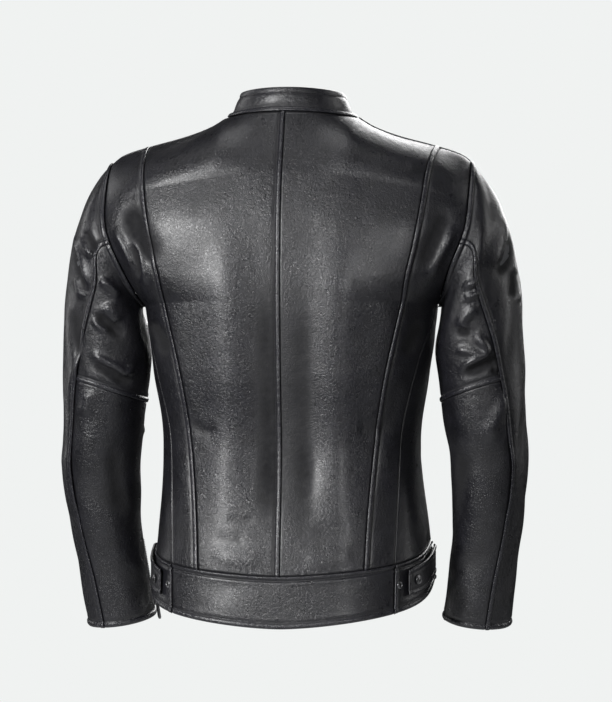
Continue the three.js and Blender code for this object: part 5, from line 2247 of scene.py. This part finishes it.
@dataclass
class Block:
    """The place of a CAD node that is a straight block: its middle, three axes and three sizes, in mm."""

    middle: Array
    across: Array
    out: Array
    along: Array
    size: Array

    @classmethod
    def of(cls, node: str, outwards: Array | None = None, axes: "Block | None" = None) -> "Block":
        """Measures a node.

        Args:
            node: the CAD node's name.
            outwards: roughly where its outer face looks, from the body's axis if left out.
            axes: a block whose axes are used instead of the node's own.

        Returns:
            The block, with along rising and out away from the garment.
        """
        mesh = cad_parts[node].data
        co = np.empty(len(mesh.vertices) * 3)
        mesh.vertices.foreach_get("co", co)
        points = np.unique(np.round(co.reshape(-1, 3) / MM - ORIGIN, 4), axis=0)
        middle = (points.min(axis=0) + points.max(axis=0)) / 2
        if axes is None:
            _, vectors = np.linalg.eigh(np.cov((points - points.mean(axis=0)).T))
            out, _, along = vectors.T
            outwards = middle * (1, 1, 0) if outwards is None else outwards
            out = out * (np.sign(out @ outwards) or 1)
            along = along * (np.sign(along[2]) or 1)
            across = np.cross(out, along)
        else:
            across, out, along = axes.across, axes.out, axes.along
        local = points @ np.stack([across, out, along]).T
        low, high = local.min(axis=0), local.max(axis=0)
        middle = np.stack([across, out, along]).T @ ((low + high) / 2)
        return cls(middle, across, out, along, high - low)

    def place(self, across: Array | float, out: Array | float, along: Array | float) -> Array:
        """Points from coordinates on the block's axes, measured from its middle."""
        local = vec(across, out, along)
        return self.middle + local @ np.stack([self.across, self.out, self.along])


def refine(
    node: str, name: str, body: str, bevel: float, wardrobe: Wardrobe, segments: int = 3
) -> bpy.types.Object:
    """A CAD part's own shape with its corners rounded off, standing for the part.

    Args:
        node: the CAD node.
        name: the new piece's name.
        body: the body that it rides on.
        bevel: the corner radius, in mm.
        wardrobe: the finishes.
        segments: steps round a corner.

    Returns:
        The new piece.
    """
    mesh = bmesh.new()
    mesh.from_mesh(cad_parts[node].data)
    bmesh.ops.remove_doubles(mesh, verts=mesh.verts, dist=1e-6)
    bmesh.ops.dissolve_limit(mesh, angle_limit=math.radians(1), verts=mesh.verts, edges=mesh.edges)
    sharp = [e for e in mesh.edges if e.is_manifold and e.calc_face_angle(0) > math.radians(32)]
    bmesh.ops.bevel(
        mesh,
        geom=sharp,
        offset=bevel * MM,
        segments=segments,
        profile=0.5,
        affect="EDGES",
        clamp_overlap=True,
    )
    bmesh.ops.recalc_face_normals(mesh, faces=mesh.faces)
    bmesh.ops.triangulate(mesh, faces=mesh.faces)
    data = bpy.data.meshes.new(name)
    mesh.to_mesh(data)
    mesh.free()
    data.shade_smooth()
    data.set_sharp_from_angle(angle=math.radians(38))
    made = bpy.data.objects.new(name, data)
    bpy.context.scene.collection.objects.link(made)
    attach(made, body)
    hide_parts(node)
    wardrobe.dress(made, wardrobe.metal)
    LOG.info("%s: %d corners", name, len(data.vertices))
    return made


@dataclass
class Zip:
    """A straight metal zip: teeth on a chain, a slider and its pull, and ribbed tapes."""

    prefix: str
    suffix: str
    wardrobe: Wardrobe
    tapes: tuple[str, ...] = ()
    pitch: float = 2.3

    def build(self) -> Block:
        """Builds the zip's parts over their CAD nodes, and returns the chain's place.

        Returns:
            The block of the chain.
        """
        chain = Block.of(f"{self.prefix}_chain{self.suffix}")
        self.teeth(chain)
        for part, bevel in (("slider", 0.55), ("pull", 0.45)):
            node = f"{self.prefix}_{part}{self.suffix}"
            body = f"{self.prefix}_{part}_body{self.suffix}"
            refine(node, f"{node}_cast".title(), body, bevel, self.wardrobe)
        for tape in self.tapes:
            self.tape(tape)
        return chain

    def teeth(self, chain: Block) -> None:
        """The teeth: each four square rings from its foot on the tape to the tip that the other side holds.

        Args:
            chain: The block of the chain.
        """
        length = chain.size[2]
        each = int(length / self.pitch) - 1
        height = np.concatenate([np.arange(each), np.arange(each) + 0.5]) * self.pitch + 0.9 - length / 2
        sign = np.repeat([-1.0, 1.0], each)
        reach = np.array([2.9, 1.5, 0.3, -0.55])
        half_out = np.array([0.95, 1.25, 1.25, 0.75])
        half_along = np.array([0.5, 0.48, 0.78, 0.5])
        corner_out, corner_along = np.array([-1, 1, 1, -1]), np.array([-1, -1, 1, 1])
        shape = (len(height), 4, 4)
        across = np.broadcast_to(sign[:, None, None] * reach[None, :, None], shape)
        out = np.broadcast_to((half_out[:, None] * corner_out)[None], shape)
        along = height[:, None, None] + (half_along[:, None] * corner_along)[None]
        points = chain.place(across, out, along)
        one = np.concatenate([grid_faces(4, 4, wrap=True), [[3, 2, 1, 0]], [[12, 13, 14, 15]]])
        faces = one[None] + (np.arange(len(height)) * 16)[:, None, None]
        faces[sign > 0] = faces[sign > 0][:, :, ::-1]
        made = new_object(f"{self.prefix}_teeth{self.suffix}".title(), points, faces.reshape(-1, 4))
        made.data.shade_flat()
        close_up(made)
        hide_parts(f"{self.prefix}_chain{self.suffix}")
        self.wardrobe.dress(made, self.wardrobe.teeth)
        LOG.info("%s: %d teeth", made.name, len(height))

    def tape(self, node: str) -> None:
        """A ribbed tape over its CAD block: fine ribs across it.

        Args:
            node: The CAD node.
        """
        block = Block.of(node)
        sizes = sorted(block.size)
        half_thick, half_width, half_length = sizes[0] / 2, sizes[1] / 2, sizes[2] / 2

        def surface(u: Array, v: Array) -> Array:
            """The tape's flat face: u runs across it and v along it.

            Args:
                u: Shares across, one row.
                v: Shares up, one column.

            Returns:
                The points.
            """
            return block.place(
                lerp(-half_width, half_width, u), half_thick, lerp(-half_length, half_length, v)
            )

        def ribs(base: Array, along: Array, up: Array) -> Array:
            """Fine ribs beside the zip edge: a sine across the tape."""
            return 0.12 * np.sin(along * 2 * math.pi / RIB_PITCH)

        panel = Panel(
            node.title(),
            surface,
            block.middle - block.out * 30,
            (node,),
            thick=0.7,
            lift=-0.1,
            step=1.4,
            extra=ribs,
            slot="zip_tape",
        )
        self.wardrobe.dress(panel.build(), self.wardrobe.tape)


@dataclass
class PocketWelt:
    """The leather frame round a hand pocket's zip: a padded ring, stitched round."""

    word: str
    wardrobe: Wardrobe
    thread: Thread
    half_width: float = 10.5
    half_hole: float = 5.0
    thick: float = 1.6

    def loop(self, half_width: float, half_length: float, corner: float, count: int = 220) -> Array:
        """A rounded rectangle as (across, along) points at even angles of a superellipse-like walk.

        Args:
            half_width: Half the width.
            half_length: Half the length.
            corner: The power of the superellipse.
            count: How many points.

        Returns:
            The points.
        """
        corner = min(corner, half_width * 0.98)
        straight_w, straight_l = half_width - corner, half_length - corner
        a = np.linspace(0, 2 * math.pi, count, endpoint=False)
        quarter = np.floor(a / (math.pi / 2)).astype(int) % 4
        sx, sy = np.array([1, -1, -1, 1])[quarter], np.array([1, 1, -1, -1])[quarter]
        arc = np.stack([sx * straight_w + corner * np.cos(a), sy * straight_l + corner * np.sin(a)], axis=-1)
        closed = np.concatenate([arc, arc[:1]])
        run = np.concatenate([[0], np.cumsum(np.linalg.norm(np.diff(closed, axis=0), axis=1))])
        at = np.linspace(0, run[-1], count, endpoint=False)
        return np.stack([np.interp(at, run, closed[:, k]) for k in range(2)], axis=-1)

    def build(self, chain: Block) -> None:
        """Builds the ring: b runs from the outer rim over the crown to the hole and back underneath.

        Args:
            chain: The block of the chain.
        """
        node = f"pocket_welt_{self.word}"
        block = Block.of(node, axes=chain)
        half_length = block.size[2] / 2
        outer, hole = self.loop(self.half_width, half_length, 3.0), self.loop(
            self.half_hole, half_length - 8, 4.5
        )
        b = np.array([0, 0, 0.06, 0.18, 0.3, 0.42, 0.55, 0.7, 0.85, 0.95, 1, 1, 0.5])
        rise = np.array([-0.8, 0.1, 0.55, 0.75, 0.45, 0.35, 0.75, 1.0, 0.95, 0.6, 0.1, -0.8, -0.8])
        flat = outer[:, None] * (1 - b)[None, :, None] + hole[:, None] * b[None, :, None]
        points = block.place(flat[..., 0], np.broadcast_to(rise, flat.shape[:2]), flat[..., 1])
        rows, cols = points.shape[:2]
        closed = np.concatenate([points, points[:1]])
        j, i = np.mgrid[0:rows, 0:cols]
        down, nxt = (j + 1) % rows, (i + 1) % cols
        faces = np.stack(
            [j * cols + i, j * cols + nxt, down * cols + nxt, down * cols + i], axis=-1
        ).reshape(-1, 4)
        made = new_object(f"Pocket_Welt_{self.word}", points, faces)
        close_up(made)
        set_float(made, "wear", np.broadcast_to(np.clip(rise, 0, 1)[None], (rows, cols)) * 0.7)
        set_float(made, "hollow", np.zeros((rows, cols)))
        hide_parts(node)
        self.wardrobe.dress(made, self.wardrobe.leather)
        path = closed[:, 4]
        self.thread.sew(path, np.broadcast_to(block.out, path.shape), trim=1.0)
        LOG.info("%s: ring of %d corners", made.name, rows * cols)


def turned_disc(
    node: str, name: str, body: str, outline: Array, wardrobe: Wardrobe
) -> tuple[bpy.types.Object, Block]:
    """A turned metal part over a CAD button.

    Args:
        node: the CAD button, whose foot and axis are used.
        name: the new piece's name.
        body: the body that it rides on.
        outline: (radius, height) points from the foot's middle over the top to the top's middle.
        wardrobe: the finishes.

    Returns:
        The piece and its block, whose out is the axis.
    """
    block = Block.of(node)
    foot = -block.size[1] / 2
    turn = np.linspace(0, 2 * math.pi, 40, endpoint=False)
    r, h = outline[:, 0][:, None], outline[:, 1][:, None]
    points = block.place(r * np.cos(turn), h + foot, r * np.sin(turn))
    made = new_object(name, points, grid_faces(len(outline), 40, wrap=True), body)
    close_up(made, merge=1e-6)
    made.data.set_sharp_from_angle(angle=math.radians(50))
    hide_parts(node)
    wardrobe.dress(made, wardrobe.metal)
    LOG.info("%s: turned", name)
    return made, block


@dataclass
class WaistAdjuster:
    """One side's waist tab with its snap, the stud that it holds and a spare stud."""

    side: Side
    wardrobe: Wardrobe
    width: float = 36.0
    thick: float = 2.8
    lift: float = 5.8
    start: float = 0.59
    stop: float = 0.99
    height: float = 0.56

    def surface(self, u: Array, v: Array) -> Array:
        """The tab's outer face: it follows the band at a fixed lift, and its free end is slightly narrower.

        Args:
            u: Shares across, one row.
            v: Shares up, one column.

        Returns:
            The points.
        """
        phi = lerp(self.start, self.stop, u[:1])
        t = np.array([[TORSO.t_band * self.height]])
        at = TORSO.point(phi, t)
        along = TORSO.point(phi + 0.01, t) - TORSO.point(phi - 0.01, t)
        out = unit(vec(along[..., 1], -along[..., 0], 0))
        taper = lerp(0.93, 1, smoothstep(u, 0, 0.15))
        p = np.broadcast_to(at + out * self.lift, u.shape + (3,)).copy()
        p[..., 2] += lerp(-self.width / 2, self.width / 2, v) * taper
        return p

    def build(self) -> None:
        """Builds the tab, its stitching and its snap parts."""
        word = self.side.word
        body = f"waist_tab_body_{word}"
        free = EdgeKind.FREE
        tab = Panel(
            f"Waist_Tab_{word}",
            mirror(self.surface, self.side),
            TORSO_INSIDE,
            (f"waist_tab_{word}",),
            {"start": free, "end": EdgeKind.LOW, "low": free, "high": free},
            thick=self.thick,
            lift=-0.4,
            step=1.8,
            pucker=0.12,
            body=body,
            drape=Drape(91 + self.side.value, 0.15, (20, 60)),
        )
        self.wardrobe.dress(tab.build(), self.wardrobe.leather)
        thread = Thread(3.0, 2.2, 0.34)
        thread.sew_edges(tab)
        self.wardrobe.dress(thread.build(f"Waist_Tab_Stitches_{word}", body), self.wardrobe.thread)
        rim = [(0, 0), (6, 0), (6.1, 0.35), (5.8, 0.8), (5.2, 0.95), (4.8, 0.78)]
        cap = np.array([*rim, (4.3, 0.95), (3.2, 1.5), (1.7, 1.85), (0, 1.93)])
        turned_disc(f"waist_tab_snap_{word}", f"Tab_Snap_Cap_{word}", body, cap, self.wardrobe)
        for node, name, tall in (("waist_stud", "Tab_Stud", 0.8), ("waist_spare_stud", "Spare_Stud", 1.8)):
            k = tall / 1.8
            dish = [(0, 0), (4.6, 0), (4.7, 0.4), (4.4, 1.2), (3.9, 1.75)]
            dish += [(3.3, 1.8), (2.9, 1.4), (2.7, 0.7), (1.2, 0.6)]
            outline = np.array([(r, h * k) for r, h in [*dish, (0, 0.6)]])
            _, block = turned_disc(f"{node}_{word}", f"{name}_{word}", ROOT, outline, self.wardrobe)
            if tall > 1:
                self.prongs(block, f"Spare_Stud_Prongs_{word}")

    def prongs(self, block: Block, name: str) -> None:
        """Four small domed prong heads round the stud's rim: half spheres by ring and turn.

        Args:
            block: The block of the stud.
            name: The name of the piece.
        """
        centre = np.array([(0, 3.65), (3.65, 0), (0, -3.65), (-3.65, 0)], float)
        rise = np.linspace(0, math.pi / 2, 5)
        turn = np.linspace(0, 2 * math.pi, 12, endpoint=False)
        r, h = 0.62 * np.cos(rise)[:, None], 0.5 * np.sin(rise)[:, None]
        across = centre[:, 0][:, None, None] + r * np.cos(turn)
        along = centre[:, 1][:, None, None] + r * np.sin(turn)
        points = block.place(across, np.broadcast_to(h + 0.75, across.shape), along)
        one = grid_faces(5, 12, wrap=True)
        faces = (one[None] + (np.arange(4) * 60)[:, None, None]).reshape(-1, 4)
        made = new_object(name, points, faces)
        close_up(made, merge=1e-7, sides=12)
        self.wardrobe.dress(made, self.wardrobe.teeth)


@dataclass
class HangerLoop:
    """The strap at the back neck that hangs the jacket: a shallow arch."""

    wardrobe: Wardrobe
    thread: Thread
    half_span: float = 31.0
    foot: float = 6.0
    drop: float = 12.0
    thick: float = 2.0
    half_width: float = 3.0

    def build(self) -> None:
        """Builds the strap: a rounded section between two quadratic arches, one over the other."""
        u = np.linspace(0, 1, 61)
        q = np.abs(2 * u - 1)
        sign = np.sign(2 * u - 1)
        s = 1 - q

        def arch(reach: float, top: float) -> Array:
            """A quadratic arch from foot to foot, with a level crown.

            Args:
                reach: Half the span.
                top: The height of the crown.

            Returns:
                The values, as an array.
            """
            x = sign * (q**2 * reach + 2 * q * s * reach)
            z = q**2 * -self.drop + 2 * q * s * top + s**2 * top
            return np.stack([x, z], axis=-1)

        outer, inner = arch(self.half_span, self.thick), arch(self.half_span - self.foot, 0.0)
        turn = np.linspace(0, 2 * math.pi, 20, endpoint=False)
        across = np.sign(np.cos(turn)) * np.abs(np.cos(turn)) ** 0.35 * self.half_width
        over = 0.5 + 0.5 * np.sign(np.sin(turn)) * np.abs(np.sin(turn)) ** 0.6
        flat = inner[:, None] + (outer - inner)[:, None] * over[None, :, None]
        y = TORSO.nape_y + 20 + across[None, :]
        points = vec(flat[..., 0], y, flat[..., 1] - 3.0)
        faces = grid_faces(61, 20, wrap=True)
        made = new_object("Hanger_Loop_Strap", points, faces)
        close_up(made, sides=20)
        set_float(made, "wear", np.full(61 * 20, 0.35))
        set_float(made, "hollow", np.zeros(61 * 20))
        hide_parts("hanger_loop")
        self.wardrobe.dress(made, self.wardrobe.leather)
        LOG.info("Hanger_Loop_Strap: built")


# ---------------------------------------------------------------- the studio


@dataclass
class Studio:
    """A pale floor, soft boxes and a long-lens camera a little to the right of square on."""

    turn: float = VIEW_TURN
    distance: float = 8.0
    view_width: float = 0.777
    aside: float = 0.0267
    down: float = -0.3035
    pale: tuple[float, float, float] = (0.871, 0.888, 0.880)

    def camera(self) -> None:
        """The camera, aimed beside the back neck point."""
        right = Vector((math.cos(self.turn), math.sin(self.turn), 0))
        back = Vector((math.sin(self.turn), -math.cos(self.turn), 0))
        neck = Vector((0, (TORSO.nape_y + ORIGIN[1]) * MM, ORIGIN[2] * MM))
        target = neck + right * self.aside + Vector((0, 0, self.down))
        data = bpy.data.cameras.new("camera")
        data.sensor_fit = "HORIZONTAL"
        data.sensor_width = 36.0
        data.lens = 36.0 * self.distance / self.view_width
        data.clip_end = 200
        made = bpy.data.objects.new("camera", data)
        bpy.context.scene.collection.objects.link(made)
        made.location = target + back * self.distance
        made.rotation_mode = "QUATERNION"
        made.rotation_quaternion = (-back).to_track_quat("-Z", "Y")
        bpy.context.scene.camera = made

    def world(self, dim: float) -> None:
        """A pale surround, dimmer to everything but the camera.

        Args:
            dim: The strength of its light.
        """
        world = bpy.data.worlds.new("studio")
        bpy.context.scene.world = world
        world.use_nodes = True
        tree = world.node_tree
        n = Nodes(tree)
        background = tree.nodes["Background"]
        background.inputs["Color"].default_value = (*self.pale, 1)
        path = n.add("ShaderNodeLightPath")
        n.link(n.fit(path.outputs["Is Camera Ray"], 0, 1, dim, 1.0), background.inputs["Strength"])

    def soft_box(self, name: str, place: tuple, aim: tuple, size: tuple[float, float], watts: float) -> None:
        """One soft box, aimed at a point.

        Args:
            name: The name of the piece.
            place: Where it stands.
            aim: Where it points.
            size: Its width and height.
            watts: Its power.
        """
        data = bpy.data.lights.new(name, "AREA")
        data.shape = "RECTANGLE"
        data.size, data.size_y = size
        data.energy = watts
        made = bpy.data.objects.new(name, data)
        bpy.context.scene.collection.objects.link(made)
        made.location = place
        made.rotation_mode = "QUATERNION"
        made.rotation_quaternion = (Vector(aim) - Vector(place)).to_track_quat("-Z", "Y")

    def floor(self) -> None:
        """A round floor well below the hem that fades out into the surround."""
        turn = np.linspace(0, 2 * math.pi, 96, endpoint=False)
        radius = np.array([0.001, 0.5, 1.0, 1.6])[:, None] * 1000
        points = vec(radius * np.cos(turn), radius * np.sin(turn), -900.0)
        made = new_object("Floor", points, grid_faces(4, 96, wrap=True))
        material = bpy.data.materials.new("floor")
        material.use_nodes = True
        n = Nodes(material.node_tree)
        shader = material.node_tree.nodes["Principled BSDF"]
        coords = n.add("ShaderNodeTexCoord").outputs["Object"]
        length = n.add("ShaderNodeVectorMath", operation="LENGTH")
        n.link(coords, length.inputs[0])
        far = n.fit(length.outputs["Value"], 0.85, 1.5, 1.0, 0.0)
        n.link(far, shader.inputs["Alpha"])
        grain = n.noise(coords, 40, 3)
        n.link(n.mix(grain, (0.80, 0.81, 0.805, 1), (0.84, 0.85, 0.845, 1)), shader.inputs["Base Color"])
        shader.inputs["Roughness"].default_value = 0.9
        made.data.materials.append(material)

    def build(self) -> None:
        """Sets up the studio."""
        self.camera()
        self.world(0.03)
        self.floor()
        middle = (0.0, 0.05, -0.32)
        boxes = (
            ("key", (-1.8, -2.8, 0.5), (0.9, 1.2), 132),
            ("fill", (1.2, -3.2, 0.1), (0.3, 0.9), 27),
            ("left_edge", (-2.6, 1.3, 0.5), (0.9, 2.2), 16),
            ("right_edge", (2.6, 1.1, 0.5), (0.9, 2.2), 16),
            ("front", (0.4, 2.8, 0.8), (1.6, 1.8), 45),
            ("top", (-0.3, -0.3, 2.0), (1.4, 1.0), 14),
        )
        for name, place, size, watts in boxes:
            self.soft_box(name, place, middle, size, watts)
        bpy.context.scene.view_settings.view_transform = "Standard"
        bpy.context.scene.view_settings.look = "None"


def main() -> None:
    """Builds the jacket from the outside in, then the studio."""
    logging.basicConfig(level=logging.INFO, format="%(name)s: %(message)s")
    wardrobe = Wardrobe()
    body_thread, left_thread, right_thread = Thread(), Thread(), Thread()
    TorsoLeather(wardrobe, body_thread).build()
    Waistband(wardrobe, body_thread).build()
    StandCollar(wardrobe, body_thread).build()
    for side, thread in ((Side.LEFT, left_thread), (Side.RIGHT, right_thread)):
        SleeveLeather(side, wardrobe, thread).build()
    Linings(wardrobe).build()
    Armour(wardrobe).build()
    Zip("front_zip", "", wardrobe, ("front_zip_tape_left", "front_zip_tape_right")).build()
    refine("front_zip_box", "Front_Zip_Box_Cast", ROOT, 0.6, wardrobe)
    for side in SIDES:
        chain = Zip("pocket_zip", f"_{side.word}", wardrobe).build()
        PocketWelt(side.word, wardrobe, body_thread).build(chain)
        Zip("cuff_zip", f"_{side.word}", wardrobe, (f"cuff_zip_tape_{side.word}",)).build()
        WaistAdjuster(side, wardrobe).build()
    HangerLoop(wardrobe, body_thread).build()
    names = ("Body_Stitches", "Sleeve_Stitches_left", "Sleeve_Stitches_right")
    for name, thread in zip(names, (body_thread, left_thread, right_thread)):
        wardrobe.dress(thread.build(name), wardrobe.thread)
    Studio().build()


if __name__ == "__main__":
    main()
